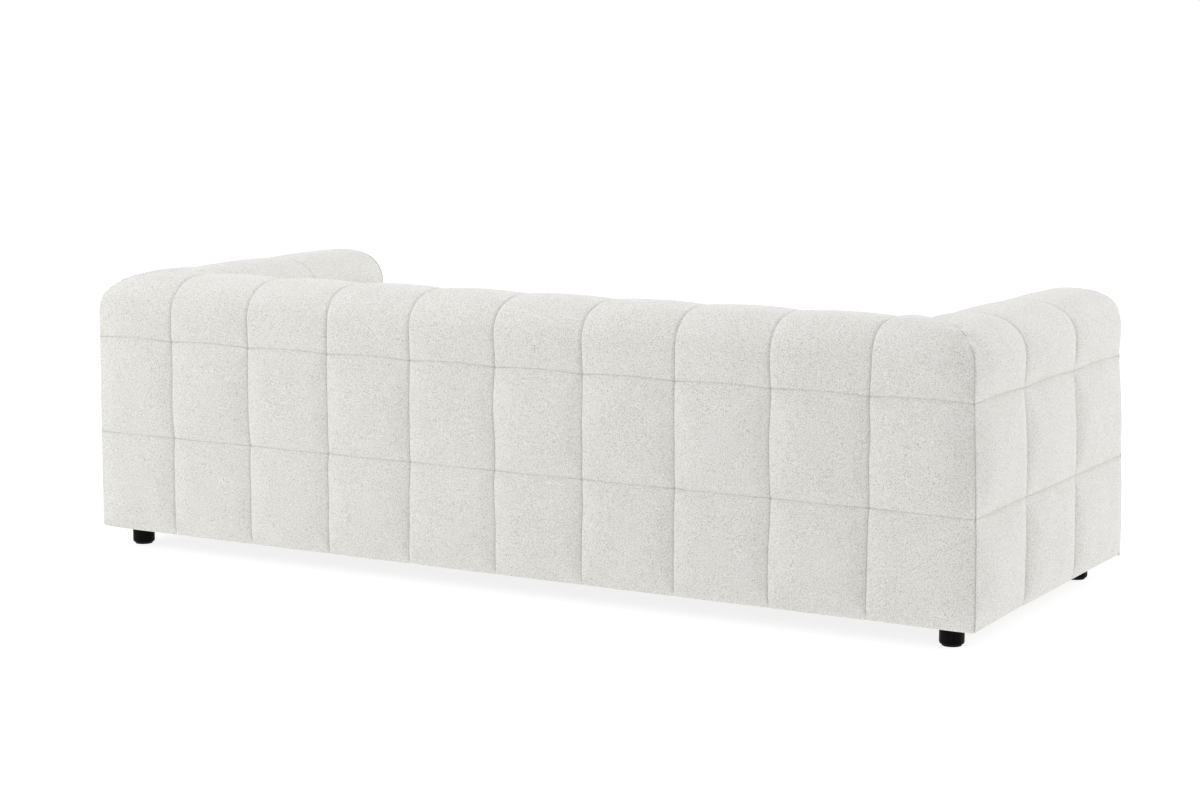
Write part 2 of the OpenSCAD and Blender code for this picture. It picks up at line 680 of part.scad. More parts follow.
// Loose seat cushions
side_swell = crown / 2;
cushion_in_x = cushion_gap / 2 + side_swell;
cushion_out_x = seat_x - crown - cushion_gap - side_swell;
cushion_front_y = front_y;
cushion_back_y = seat_back_y - crown - cushion_gap - side_swell;
cushion_z = deck_z + soft_gap;
cushion_wall = 12;
draw_in = crown / 2;
draw_power = 8;
corner_swell_share = 0.4;
side_shares_down = [0.12, 0.5, 0.88, 1];
side_swell_shares = [0.55, 1, 0.55, 0];
function seam_list(lo, hi, n) = [for (k = [0:n]) lo + (hi - lo) * k / n];
function cushion_ring(nx, ny) = concat(
  [for (i = [0:nx - 1]) [i, 0]], [for (j = [0:ny - 1]) [nx, j]],
  [for (i = [nx:-1:1]) [i, ny]], [for (j = [ny:-1:1]) [0, j]]);
module cushion_form() {
  us = pad_places(seam_list(cushion_in_x, cushion_out_x, cushion_cols));
  vs = pad_places(seam_list(cushion_front_y, cushion_back_y, cushion_rows));
  nx = len(us) - 1;
  ny = len(vs) - 1;
  ring = cushion_ring(nx, ny);
  n = len(ring);
  levels = len(side_shares_down);
  mid = [(cushion_in_x + cushion_out_x) / 2, (cushion_front_y + cushion_back_y) / 2];
  half = [(cushion_out_x - cushion_in_x) / 2, (cushion_back_y - cushion_front_y) / 2];
  plan = [for (i = [0:nx]) for (j = [0:ny])
    let (
      x = us[i][0], y = vs[j][0],
      a = (x - mid[0]) / half[0], b = (y - mid[1]) / half[1]
    )
    [x - draw_in * sign(a) * pow(abs(a), draw_power) * (1 - b * b),
     y - draw_in * sign(b) * pow(abs(b), draw_power) * (1 - a * a),
     cushion_z + cushion_h + crown * (row_seam_share + (1 - row_seam_share) * us[i][1]) * vs[j][1]
       * (i == 0 || i == nx ? 0 : 1)]];
  walls = [for (k = [0:levels - 1]) for (q = ring)
    let (
      p = plan[q[0] * (ny + 1) + q[1]],
      ox = q[0] == 0 ? -1 : q[0] == nx ? 1 : 0,
      oy = q[1] == 0 ? -1 : q[1] == ny ? 1 : 0,
      out = side_swell * side_swell_shares[k] * (ox != 0 && oy != 0 ? corner_swell_share : 1)
    )
    [p[0] + ox * out, p[1] + oy * out, cushion_z + cushion_h * (1 - side_shares_down[k])]];
  m = ny + 1;
  top = (nx + 1) * m;
  function above(k, i) = k == 0 ? ring[i % n][0] * m + ring[i % n][1] : top + (k - 1) * n + i % n;
  polyhedron(
    points = concat(plan, walls),
    faces = concat(
      [for (i = [0:nx - 1]) for (j = [0:ny - 1]) [i * m + j, i * m + j + 1, (i + 1) * m + j + 1]],
      [for (i = [0:nx - 1]) for (j = [0:ny - 1]) [i * m + j, (i + 1) * m + j + 1, (i + 1) * m + j]],
      [for (k = [0:levels - 1]) for (i = [0:n - 1]) [above(k, i), above(k, i + 1), above(k + 1, i + 1)]],
      [for (k = [0:levels - 1]) for (i = [0:n - 1]) [above(k, i), above(k + 1, i + 1), above(k + 1, i)]],
      [[for (i = [0:n - 1]) above(levels, i)]]
    ),
    convexity = 10
  );
}
module cushion_hollow(extra) {
  w = cushion_wall + extra;
  block(cushion_in_x + w, cushion_out_x - w, cushion_front_y + w, cushion_back_y - w,
    cushion_z + cover_t + extra, cushion_z + cushion_h - cover_t - extra);
}

// Zip in the back side of a cushion
zip_groove_d = 6;
zip_tape_t = 1;
zip_teeth_h = 6;
zip_teeth_t = 2;
slider_l = 14;
slider_wall = 1.2;
slider_gap = 0.3;
pull_l = 26;
pull_h = 5;
zip_x = (cushion_in_x + cushion_out_x) / 2;
zip_l = cushion_out_x - cushion_in_x - 2 * zip_end;
zip_z = cushion_z + cushion_h / 2;
zip_y = cushion_back_y - zip_groove_d;
zip_out_y = zip_y + zip_tape_t + zip_teeth_t + slider_gap;
module left_cushion_cover() {
  color(cloth_tone) difference() {
    cushion_form();
    cushion_hollow(0);
    block(zip_x - zip_l / 2 - pull_l, zip_x + zip_l / 2 + pull_l, zip_y, cushion_back_y + side_swell + cut_over,
      zip_z - zip_tape_h / 2, zip_z + zip_tape_h / 2);
  }
}
module right_cushion_cover() { right_of() left_cushion_cover(); }
module left_cushion_core() { color(foam_tone) cushion_hollow(soft_gap); }
module right_cushion_core() { right_of() left_cushion_core(); }
module left_cushion_zip() {
  color(cloth_tone) {
    block(zip_x - zip_l / 2, zip_x + zip_l / 2, zip_y, zip_y + zip_tape_t,
      zip_z - zip_tape_h / 2, zip_z + zip_tape_h / 2);
    block(zip_x - zip_l / 2, zip_x + zip_l / 2, zip_y + zip_tape_t, zip_y + zip_tape_t + zip_teeth_t,
      zip_z - zip_teeth_h / 2, zip_z + zip_teeth_h / 2);
  }
}
module right_cushion_zip() { right_of() left_cushion_zip(); }
module left_zip_slider() {
  x0 = zip_x - zip_l / 2;
  side_z = zip_teeth_h / 2 + slider_gap;
  color(steel_tone) {
    block(x0, x0 + slider_l, zip_out_y, zip_out_y + slider_wall,
      zip_z - side_z - slider_wall, zip_z + side_z + slider_wall);
    for (z = [zip_z - side_z - slider_wall, zip_z + side_z])
      block(x0, x0 + slider_l, zip_y + zip_tape_t + slider_gap, zip_out_y, z, z + slider_wall);
    block(x0 - pull_l + slider_l / 2, x0 + slider_l / 2, zip_out_y + slider_wall, zip_out_y + 2 * slider_wall,
      zip_z - pull_h / 2, zip_z + pull_h / 2);
  }
}
module right_zip_slider() { right_of() left_zip_slider(); }

base_front_rail();
base_rear_rail();
base_left_rail();
base_right_rail();
base_inner_rail();
base_cross_rails();
corner_blocks();
front_spring_rail();
rear_spring_rail();
zigzag_springs();
spring_clips();
spring_tie_wires();
back_ribs();
back_joint_boards();
back_top_board();
back_outer_panel();
back_webbing();
left_arm_ribs();
right_arm_ribs();
left_arm_top_board();
right_arm_top_board();
left_arm_outer_panel();
right_arm_outer_panel();
left_arm_inner_panel();
right_arm_inner_panel();
frame_bolts();
frame_washers();
frame_nuts();
foot_plates();
foot_bolts();
left_front_foot();
right_front_foot();
left_rear_foot();
right_rear_foot();
centre_foot();
foot_glides();
back_foam();
left_arm_foam();
right_arm_foam();
front_border_foam();
deck_pad();
back_cover();
left_arm_cover();
right_arm_cover();
left_arm_front_panel();
right_arm_front_panel();
seat_front_cover();
deck_cloth();
dust_cover();
left_cushion_cover();
right_cushion_cover();
left_cushion_core();
right_cushion_core();
left_cushion_zip();
right_cushion_zip();
left_zip_slider();
right_zip_slider();
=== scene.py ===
# Tuxedo sofa: sewn pile covers, loose cushions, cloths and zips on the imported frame
import math
import bmesh
import bpy
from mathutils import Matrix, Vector, noise


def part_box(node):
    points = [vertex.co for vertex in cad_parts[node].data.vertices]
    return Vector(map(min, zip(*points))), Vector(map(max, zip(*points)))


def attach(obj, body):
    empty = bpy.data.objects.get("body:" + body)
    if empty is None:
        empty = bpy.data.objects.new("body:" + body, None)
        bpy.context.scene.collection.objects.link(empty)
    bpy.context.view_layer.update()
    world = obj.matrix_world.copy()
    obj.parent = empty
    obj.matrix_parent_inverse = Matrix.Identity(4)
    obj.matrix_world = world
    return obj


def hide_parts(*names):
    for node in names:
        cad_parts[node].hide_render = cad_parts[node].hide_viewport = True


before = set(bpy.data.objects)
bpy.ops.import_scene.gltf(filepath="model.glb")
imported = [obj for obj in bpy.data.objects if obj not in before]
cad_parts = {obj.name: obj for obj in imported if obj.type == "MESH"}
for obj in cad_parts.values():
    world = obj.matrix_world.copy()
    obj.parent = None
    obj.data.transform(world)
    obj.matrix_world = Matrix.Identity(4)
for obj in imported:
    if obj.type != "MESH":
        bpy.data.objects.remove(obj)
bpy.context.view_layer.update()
print("frame loaded")

mm = 0.001


# Node helpers. A value is a node and the name or number of its output.
def toLinear(code):
    values = []
    for place in (0, 2, 4):
        c = int(code[place:place + 2], 16) / 255
        values.append(c / 12.92 if c <= 0.04045 else ((c + 0.055) / 1.055) ** 2.4)
    return (*values, 1.0)


def addNode(tree, kind, settings=None, links=None):
    node = tree.nodes.new(kind)
    for key, setting in (settings or {}).items():
        if isinstance(key, str) and hasattr(node, key):
            setattr(node, key, setting)
        else:
            node.inputs[key].default_value = setting
    for key, (source, output) in (links or {}).items():
        tree.links.new(source.outputs[output], node.inputs[key])
    return node


def ramp(tree, value, stops):
    node = addNode(tree, "ShaderNodeValToRGB", links={"Fac": value})
    band = node.color_ramp
    while len(band.elements) < len(stops):
        band.elements.new(0.5)
    for element, (position, code) in zip(band.elements, stops):
        element.position = position
        element.color = toLinear(code)
    return node, "Color"


# A material with its shader, and textures in the object's own coordinates, sized in mm
class Finish:
    def __init__(self, name):
        self.material = bpy.data.materials.new(name)
        self.material.use_nodes = True
        self.tree = self.material.node_tree
        self.tree.nodes.clear()
        self.shader = self.add("ShaderNodeBsdfPrincipled")
        self.add("ShaderNodeOutputMaterial", links={"Surface": (self.shader, "BSDF")})
        self.place = (self.add("ShaderNodeTexCoord"), "Object")

    def add(self, kind, settings=None, links=None):
        return addNode(self.tree, kind, settings, links)

    def link(self, value, socket):
        source, output = value
        self.tree.links.new(source.outputs[output], self.shader.inputs[socket])

    def constants(self, settings):
        for socket, setting in settings.items():
            self.shader.inputs[socket].default_value = setting

    def noise(self, size, place=None, **settings):
        settings["Scale"] = 1000 / size
        return self.add("ShaderNodeTexNoise", settings, {"Vector": place or self.place}), "Fac"

    def cells(self, size, **settings):
        settings["Scale"] = 1000 / size
        return self.add("ShaderNodeTexVoronoi", settings, {"Vector": self.place}), "Distance"

    def turned(self, **settings):
        return self.add("ShaderNodeMapping", settings, {"Vector": self.place}), "Vector"

    # One value times a factor, plus another value
    def weigh(self, value, factor, plus):
        settings = {"operation": "MULTIPLY_ADD", 1: factor}
        return self.add("ShaderNodeMath", settings, {0: value, 2: plus}), "Value"

    def colour(self, value, *stops):
        self.link(ramp(self.tree, value, stops), "Base Color")

    def roughness(self, value, smoothest, roughest):
        spread = self.add("ShaderNodeMapRange", {"To Min": smoothest, "To Max": roughest}, {"Value": value})
        self.link((spread, "Result"), "Roughness")

    def relief(self, value, depth, strength, invert=False):
        settings = {"Strength": strength, "Distance": depth * mm, "invert": invert}
        self.link((self.add("ShaderNodeBump", settings, {"Height": value}), "Normal"), "Normal")


# Looped pile cloth: short uneven yarn loops on a woven ground. It looks matt, soft at grazing angles,
# and freckled by the shade between the loops. The loops are drawn a little coarser than the yarn, to show.
pileLook = {
    "loop": 2.3,      # mm across a loop
    "clump": 2.645,   # mm across a clump of loops
    "fibre": 1.3,     # mm, the hairs on a loop
    "mottle": 110.0,  # mm, slow change of tone over a pad
    "deep": "a9a7a0",
    "middle": "d1d0cb",
    "light": "eae9e6",
    # crease: colour of the painted shade in the seam grooves and fold hollows
    "crease": "a09d96",
    "relief": 0.9,    # mm
}


def makePileCloth(look=pileLook):
    cloth = Finish("loopedPileCloth")
    loops = cloth.cells(look["loop"], feature="SMOOTH_F1", Smoothness=0.35, Randomness=1.0)
    hairs = cloth.noise(look["fibre"], Detail=3.0, Roughness=0.6)
    clumps = cloth.noise(look["clump"], Detail=3.0, Roughness=0.65)
    mottle = cloth.noise(look["mottle"], Detail=2.0)
    tone = cloth.weigh(hairs, 0.55, clumps)
    spots = cloth.weigh(loops, -0.35, tone)
    drift = cloth.weigh(mottle, 0.08, spots)
    colours = ramp(cloth.tree, drift, ((0.34, look["deep"]), (0.56, look["middle"]), (0.80, look["light"])))
    # Painted shade: the "seam" attribute mixes the crease colour into the cloth along the stitched seam
    # grooves, the panels' edges and the hollows of folds
    seam = cloth.add("ShaderNodeAttribute", {"attribute_name": "seam"})
    narrow = cloth.add("ShaderNodeMath", {"operation": "POWER", 1: 3.0, "use_clamp": True},
                       {0: (seam, "Fac")})
    # Sockets 6 and 7 of a mix node are its two colours, output 2 is their mix
    seamShaded = cloth.add("ShaderNodeMix", {"data_type": "RGBA", 7: toLinear(look["crease"])},
                        {"Factor": (narrow, "Value"), 6: colours})
    cloth.link((seamShaded, 2), "Base Color")
    cloth.relief(cloth.weigh(loops, -0.8, tone), look["relief"], 0.5)
    cloth.constants({"Roughness": 0.95, "Sheen Weight": 0.2, "Sheen Roughness": 0.6,
                     "Specular IOR Level": 0.15})
    return cloth.material


# Injection-moulded polypropylene with a fine spark-eroded grain: black, with soft highlights
def makeMouldedPlastic(name):
    plastic = Finish(name)
    wear = plastic.noise(14, Detail=4.0)
    plastic.colour(wear, (0.3, "070707"), (0.75, "0d0d0c"))
    plastic.roughness(wear, 0.42, 0.56)
    plastic.relief(plastic.noise(0.8, Detail=2.0), 0.1, 0.25)
    plastic.constants({"Specular IOR Level": 0.06})
    return plastic.material


# Planed pine: pale straw early wood with darker late-wood lines along the board, and a dull dry surface
def makePlanedPine(name, stretch):
    pine = Finish(name)
    along = pine.turned(Scale=stretch)
    rings = pine.noise(12, along, Detail=3.0, Distortion=0.6)
    fibre = pine.noise(2.5, along, Detail=4.0)
    mixed = pine.weigh(fibre, 0.25, rings)
    pine.colour(mixed, (0.42, "b58a52"), (0.55, "d9b583"), (0.72, "ead0a4"))
    pine.roughness(fibre, 0.62, 0.8)
    pine.relief(mixed, 0.3, 0.3)
    return pine.material


# Pressed hardboard: dark brown fibre mat, pressed smooth, with flecks of lighter fibre
def makeHardboard():
    board = Finish("pressedHardboard")
    mat = board.noise(3, Detail=5.0, Roughness=0.7)
    mixed = board.weigh(board.cells(5), -0.25, mat)
    board.colour(mixed, (0.25, "5a3f28"), (0.45, "7b5a3b"), (0.62, "9a7650"))
    board.roughness(mat, 0.5, 0.7)
    board.relief(mixed, 0.15, 0.2)
    return board.material


# Cut polyurethane foam: pale yellow open cells, quite matt, with a pitted face; the pits are painted darker
# at their sunken middles, as painted shade
def makeCutFoam():
    foam = Finish("cutFoam")
    pits = foam.cells(1.6)
    mixed = foam.weigh(pits, 0.4, foam.noise(60, Detail=2.0))
    foam.colour(mixed, (0.4, "d8c684"), (0.65, "ebdfae"), (0.85, "f4ecc8"))
    foam.relief(pits, 0.5, 0.5, invert=True)
    foam.constants({"Roughness": 0.95})
    return foam.material


# Drawn or plated steel: the wire is oiled and darker, bolts are zinc-plated and zips nickel-plated
def makeSteel(name, dark, bright, smoothest, roughest):
    steel = Finish(name)
    film = steel.noise(9, Detail=4.0)
    steel.colour(film, (0.35, dark), (0.7, bright))
    steel.roughness(film, smoothest, roughest)
    steel.relief(steel.noise(1.2, Detail=2.0), 0.05, 0.1)
    steel.constants({"Metallic": 1.0})
    return steel.material


# Plain-woven cloth or tape: crossing threads show as a fine even check
def makeWoven(name, thread, dark, light, roughness):
    woven = Finish(name)
    waves = []
    for turn in (0.0, math.pi / 2):
        settings = {"Scale": 50 / thread, "Distortion": 0.3, "bands_direction": "X"}
        turned = woven.turned(Rotation=(0.0, 0.0, turn))
        waves.append((woven.add("ShaderNodeTexWave", settings, {"Vector": turned}), "Fac"))
    check = (woven.add("ShaderNodeMath", {"operation": "MULTIPLY"}, {0: waves[0], 1: waves[1]}), "Value")
    mixed = woven.weigh(woven.noise(3, Detail=3.0), 0.6, check)
    woven.colour(mixed, (0.25, dark), (1.1, light))
    woven.relief(check, 0.2, 0.4)
    woven.constants({"Roughness": roughness})
    return woven.material


pileCloth = makePileCloth()
footPlastic = makeMouldedPlastic("mouldedBlackPlastic")
glidePlastic = makeMouldedPlastic("mouldedGlidePlastic")
pineAlong = makePlanedPine("planedPineAlong", (0.06, 1.0, 1.0))
pineAcross = makePlanedPine("planedPineAcross", (1.0, 0.06, 1.0))
pineUpright = makePlanedPine("planedPineUpright", (1.0, 1.0, 0.06))
hardboard = makeHardboard()
cutFoam = makeCutFoam()
springSteel = makeSteel("drawnSpringSteel", "55565a", "7d7f83", 0.32, 0.5)
zincSteel = makeSteel("zincPlatedSteel", "a7a9aa", "cfd1d2", 0.25, 0.42)
zipMetal = makeSteel("nickelPlatedZip", "a9a59c", "d3cfc6", 0.2, 0.35)
strapWeave = makeWoven("wovenElasticStrap", 1.6, "26262a", "4a4a50", 0.75)
deckWeave = makeWoven("wovenDeckCloth", 1.2, "24242a", "3c3c42", 0.85)
spunCloth = makeWoven("spunBlackCloth", 2.2, "0d0d0d", "1f1f20", 0.9)
tapeWeave = makeWoven("wovenZipTape", 0.8, "bfbbb3", "e2dfd9", 0.8)
print("materials made")


def pair(name):
    return "left_" + name, "right_" + name


footNames = (*pair("front_foot"), *pair("rear_foot"), "centre_foot")
nodeFinishes = (
    (pineAlong, ("base_front_rail", "base_rear_rail", "base_inner_rail", "front_spring_rail",
                 "rear_spring_rail", "back_top_board")),
    (pineAcross, ("base_left_rail", "base_right_rail", "base_cross_rails", *pair("arm_top_board"))),
    (pineUpright, ("corner_blocks", "back_ribs", "back_joint_boards", *pair("arm_ribs"))),
    (hardboard, ("back_outer_panel", *pair("arm_outer_panel"), *pair("arm_inner_panel"))),
    (cutFoam, ("back_foam", *pair("arm_foam"), "front_border_foam", "deck_pad", *pair("cushion_core"))),
    (springSteel, ("zigzag_springs", "spring_tie_wires")),
    (zincSteel, ("spring_clips", "frame_bolts", "frame_washers", "frame_nuts", "foot_plates", "foot_bolts")),
    (strapWeave, ("back_webbing",)),
    (glidePlastic, ("foot_glides",)),
    (footPlastic, footNames),
    (pileCloth, ("back_cover", *pair("arm_cover"), *pair("arm_front_panel"), "seat_front_cover",
                 *pair("cushion_cover"))),
    (spunCloth, ("deck_cloth", "dust_cover")),
    (tapeWeave, pair("cushion_zip")),
    (zipMetal, pair("zip_slider")),
)
for finish, names in nodeFinishes:
    for nodeName in names:
        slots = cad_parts[nodeName].data.materials
        slots.clear()
        slots.append(finish)
print("frame finished")


# Driving sizes of the covers. Lengths come from the frame's boxes, the rest is written here in metres.
backLow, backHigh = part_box("back_cover")
armLow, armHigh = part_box("left_arm_cover")
coverShape = {
    "crown": 0.012,       # how far a pad stands proud of its seams
    "wall": 0.240,        # thickness of the arms and the back
    "rollH": 0.095,       # height of the rolled crest
    "rollPower": 2.4,     # 2 is an ellipse, more is squarer
    "square": 0.006,      # how far the crest's shoulders stand out squarer at the arms' front ends
    "squareReach": 0.55,  # length of the arm over which they do
    "lowSeam": 0.250,     # height of the lower level seam over the hem
    "highSeam": 0.495,    # height of the upper one
    "quick": 0.24,        # share of a pad's height that rises right at its seam
    "bulge": 0.85,        # power of the pad's long bow, lower is fuller
    "round": 0.011,       # width over which a pad rounds into its seam
    "rowDepth": 0.50,     # how deep a level seam is, of an upright one
    "pillow": 0.0065,     # how much fuller the pads of the arms' outer sides are
    "pillowLow": 0.35,    # share of the pad's height that is taken off at its seams for that
    "topShare": 0.62,     # how proud the pads stand over the top
    "topFall": 0.85,      # how much of that the arms lose towards their front ends
    "hemRound": 0.070,    # height over which the lower pads round to the hem
    "hemShare": 0.15,     # how proud the pads still stand at the hem
    "hemTurn": 0.006,     # radius of the turned hem
    "turnUnder": 0.022,   # width of cloth turned under the frame
    "flare": 0.020,       # how far the outer corners stand out at the hem
    "flareTop": 0.52,     # height over the hem where the corners are upright again
    "flarePower": 1.2,    # 1 is a plain cosine between the two
    "frontFlare": 0.6,    # share of the flare at the arms' front ends
    "farFlare": 0.12,     # share of the flare at the left rear corner
    "belly": 0.009,       # how far the arms' outer sides belly out below the upper seam
    "bow": 0.005,         # how far the upper seam bows up between its ends
    "bowReach": 0.09,     # height to both sides of the seam over which that fades
    "sink": 0.0013,       # how far the stitches sink below the seam plane
    "uneven": 0.0014,     # slow unevenness of the filling
    "gather": 0.0009,     # depth of the small gathers along the seams
    "pucker": 0.0036,     # height of the folds at the mitred corners
    "backPucker": 0.3,    # share of it on the back's side of the mitre
    "crease": 0.0170,     # depth of the loose creases low at the front of the arms
    "seamRise": 0.0062,   # how far an upright seam stands out between two level seams
    "wander": 0.0055,     # how far the upright seams stray from a straight line
    "calm": 0.06,         # length at a wall's ends over which both settle
    "cells": 20,          # faces across a pad
}
# What changes on the arms' outer sides, where the pads are softer, and at the mitred corners
sideShape = {
    "quick": 0.16,      # added to the share that rises right at the seam
    "rowDepth": 0.22,   # added to the depth of the level seams
    "round": 2.0,       # factor over one on the width over which a pad rounds
    "seamRise": -0.5,   # factor over one on how far the seams stand out
    "mitreBulge": 0.5,  # added to the bulge's power at a mitre
}
# The thread pulls the pile down into a groove, and the groove's shade is painted into the colour as a dark
# line: widths in metres, the rest are shares
threadLook = {
    "stitch": 0.0024,
    "levelStitch": 0.0022,
    "levelSink": 0.8,
    "upright": 0.0016,
    "level": 0.0015,
    "strength": 0.95,
    "sideFaint": 0.4,  # how much fainter the painted seam shade is on the arms' outer sides, over the top and at a mitre
    "topFaint": 0.25,
    "mitreFaint": 0.15,
    "levelStrength": 0.72,
    "crossingShade": 0.14,  # how much more painted shade a level seam gets where an upright one crosses it
    "crossingReach": 0.05,
    "fold": 0.5,       # painted shade in the hollows of the folds
}
# The simulation holds the cloth near a seam, and lets it swell by so much elsewhere
swellRoom = {"seam": 0.0015, "outer": 0.004, "inner": 0.0005, "armFront": 0.003, "border": 0.0012}
endX = armHigh.x - coverShape["crown"]
backY = backHigh.y - coverShape["crown"]
frontY = -backY
panelY = armLow.y
hemZ = backLow.z
crestZ = backHigh.z - coverShape["crown"]
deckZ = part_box("deck_cloth")[1].z
seatX = endX - coverShape["wall"]
lowSeamZ = hemZ + coverShape["lowSeam"]
highSeamZ = hemZ + coverShape["highSeam"]
rowH = highSeamZ - lowSeamZ
shoulderZ = crestZ - coverShape["rollH"]


def clamp(value):
    return min(max(value, 0.0), 1.0)


# 1 at a place, and falling to 0 at a reach from it
def fade(away, reach):
    return max(0.0, 1 - away / reach)


def bell(away, width):
    return math.exp(-(away / width) ** 2)


def smooth(share):
    return share * share * (3 - 2 * share)


# Draws the steps of a grid closer together at both ends
def ease(s, pull=0.7):
    return s - pull * math.sin(2 * math.pi * s) / (2 * math.pi)


def roundUp(distance, width):
    near = min(distance / width, 1)
    return math.sqrt(max(0.0, 1 - (1 - near) ** 2))


# Height of a pad at a share of its width: a quick rise at the seam, then one long bow
def padRise(share, gap, width, quick=coverShape["quick"], bulge=coverShape["bulge"]):
    inside = clamp(share)
    return quick * roundUp(gap, width) + (1 - quick) * (4 * inside * (1 - inside)) ** bulge


def flare(z, shape=coverShape):
    share = clamp((z - hemZ) / shape["flareTop"])
    return shape["flare"] * math.cos(math.pi / 2 * share ** shape["flarePower"]) ** shape["flarePower"]


# Rolled crest: depth, height and outward direction at an angle from the outer side over to the inner side
def crestPoint(angle, shape=coverShape):
    half = shape["wall"] / 2
    power = shape["rollPower"]
    level = abs(math.cos(angle)) ** (2 / power)
    up = math.sin(angle) ** (2 / power) if angle < math.pi else 0.0
    side = 1 if angle > math.pi / 2 else -1
    out = Vector((side * level ** (power - 1) / half, up ** (power - 1) / shape["rollH"])).normalized()
    return half + side * half * level, shoulderZ + shape["rollH"] * up, out.x, out.y


def squarePush(outD, outZ, toFront, shape=coverShape):
    near = fade(toFront, shape["squareReach"])
    return shape["square"] * near * near * 4 * (outD * outZ) ** 2 if outD < 0 else 0.0


# Cross-section of a wall from under the hem over the crest to the deck, as rows of
# depth, height, outward direction in both, gap to the level seams, gap to the hem, and length run
def wallSection(shape=coverShape):
    t = shape["wall"]
    n = shape["cells"]
    hem = shape["hemTurn"]
    shoulderSteps = 6
    crestSteps = 40
    points = []

    def straight(z0, z1, d, out):
        for k in range(1, n + 1):
            points.append((d, z0 + (z1 - z0) * ease(k / n), out, 0.0))

    def shoulder(k, d, out):
        points.append((d, highSeamZ + (shoulderZ - highSeamZ) * (k / shoulderSteps) ** 1.4, out, 0.0))

    for k in range(3):
        points.append((hem + shape["turnUnder"] * (1 - k / 2), hemZ, 0.0, -1.0))
    for k in range(1, 5):
        a = math.radians(270 - 90 * k / 4)
        points.append((hem + hem * math.cos(a), hemZ + hem + hem * math.sin(a), math.cos(a), math.sin(a)))
    hemRow = len(points) - 1
    straight(hemZ + hem, lowSeamZ, 0.0, -1.0)
    straight(lowSeamZ, highSeamZ, 0.0, -1.0)
    for k in range(1, shoulderSteps + 1):
        shoulder(k, 0.0, -1.0)
    for k in range(1, crestSteps):
        points.append(crestPoint(math.pi * k / crestSteps))
    for k in range(shoulderSteps, -1, -1):
        shoulder(k, t, 1.0)
    straight(highSeamZ, deckZ, t, 1.0)
    lengths = [0.0]
    for a, b in zip(points, points[1:]):
        lengths.append(lengths[-1] + math.hypot(b[0] - a[0], b[1] - a[1]))
    seams = [lengths[hemRow + n], lengths[hemRow + 2 * n], lengths[-1 - n]]
    rows = []
    for row, (point, run) in enumerate(zip(points, lengths)):
        gap = min(abs(run - s) for s in seams)
        hemGap = 0.0 if row <= hemRow else run - lengths[hemRow]
        rows.append((*point, gap, hemGap, run))
    return rows


# Where the upright seams stand at a depth: the ends are mitred where two walls meet
def seamPlaces(places, depth, mitres, wall):
    moved = list(places)
    moved[0] += mitres[0] * min(depth, wall)
    moved[-1] -= mitres[1] * min(depth, wall)
    return moved


def waver(x, y, z):
    return noise.noise(Vector((x, y, z)))


def unevenness(u, l, seed):
    return waver(u * 6.0 + seed, l * 7.0, seed * 1.7)


# Small gathers that run away from a seam, strongest at the stitches
def gathers(along, away, seed, reach=0.055, start=0.006):
    near = fade(away, reach) ** 2 * min(away / start, 1)
    return near * waver(along * 40.0, away * 8.0, seed)


# Short folds on the crest that run away from the mitre where two walls are joined
def puckers(depth, away, upward, spacing=0.036, reach=0.11, start=0.008):
    near = fade(away, reach) ** 1.5 * min(away / start, 1)
    return math.sin(2 * math.pi * depth / spacing) * near * min(max(upward, 0.0) * 1.4, 1)


# Loose creases low at the front end of an arm
def creases(toFront, toHem, seed, length=0.26, height=0.20):
    near = fade(toFront, length) * fade(toHem, height)
    return -abs(waver(toFront * 16 + toHem * 9, toHem * 17 - toFront * 6, seed)) * min(1.0, near * 3)


# Attributes of a padded skin: the painted shade at its seams and fold hollows, whether a stitch holds it, how
# far it may swell
def padLayers(bm):
    return [bm.verts.layers.float.new(layer) for layer in ("seam", "hold", "cap")]


def mark(vert, layers, seam, held, cap):
    for layer, amount in zip(layers, (seam, 1.0 if held else 0.0, cap)):
        vert[layer] = amount


def addObject(name, data):
    holder = bpy.data.objects.new(name, data)
    bpy.context.scene.collection.objects.link(holder)
    return holder


# Turns a shaped bmesh into a piece: merges doubles, and faces outwards
def makePiece(bm, name, material, outwards=None, smoothed=True):
    bmesh.ops.remove_doubles(bm, verts=bm.verts, dist=1e-6)
    bmesh.ops.dissolve_degenerate(bm, dist=1e-6, edges=bm.edges)
    bm.normal_update()
    if outwards is None:
        bmesh.ops.recalc_face_normals(bm, faces=bm.faces)
    elif sum(1 if f.normal.dot(outwards(f.calc_center_median())) > 0 else -1 for f in bm.faces) < 0:
        bmesh.ops.reverse_faces(bm, faces=bm.faces)
    for face in bm.faces:
        face.smooth = smoothed
    mesh = bpy.data.meshes.new(name)
    bm.to_mesh(mesh)
    bm.free()
    mesh.materials.append(material)
    return addObject(name, mesh)


def register(piece, body, slot, *nodes):
    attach(piece, body)
    if nodes:
        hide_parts(*nodes)


# Cloth simulation of a padded skin: stitches are pinned, the filling presses outwards,
# and no point moves further than its cap. "hold" and "cap" are attributes of the piece.
swellLook = {"frames": 14, "blend": 0.75}
swellCloth = {
    "quality": 5,
    "mass": 0.3,
    "tension_stiffness": 25,
    "compression_stiffness": 25,
    "shear_stiffness": 10,
    "bending_stiffness": 6,
    "air_damping": 4,
    "use_pressure": True,
    "uniform_pressure_force": 2.2,
    "shrink_min": -0.006,
    "vertex_group_mass": "stitches",
}


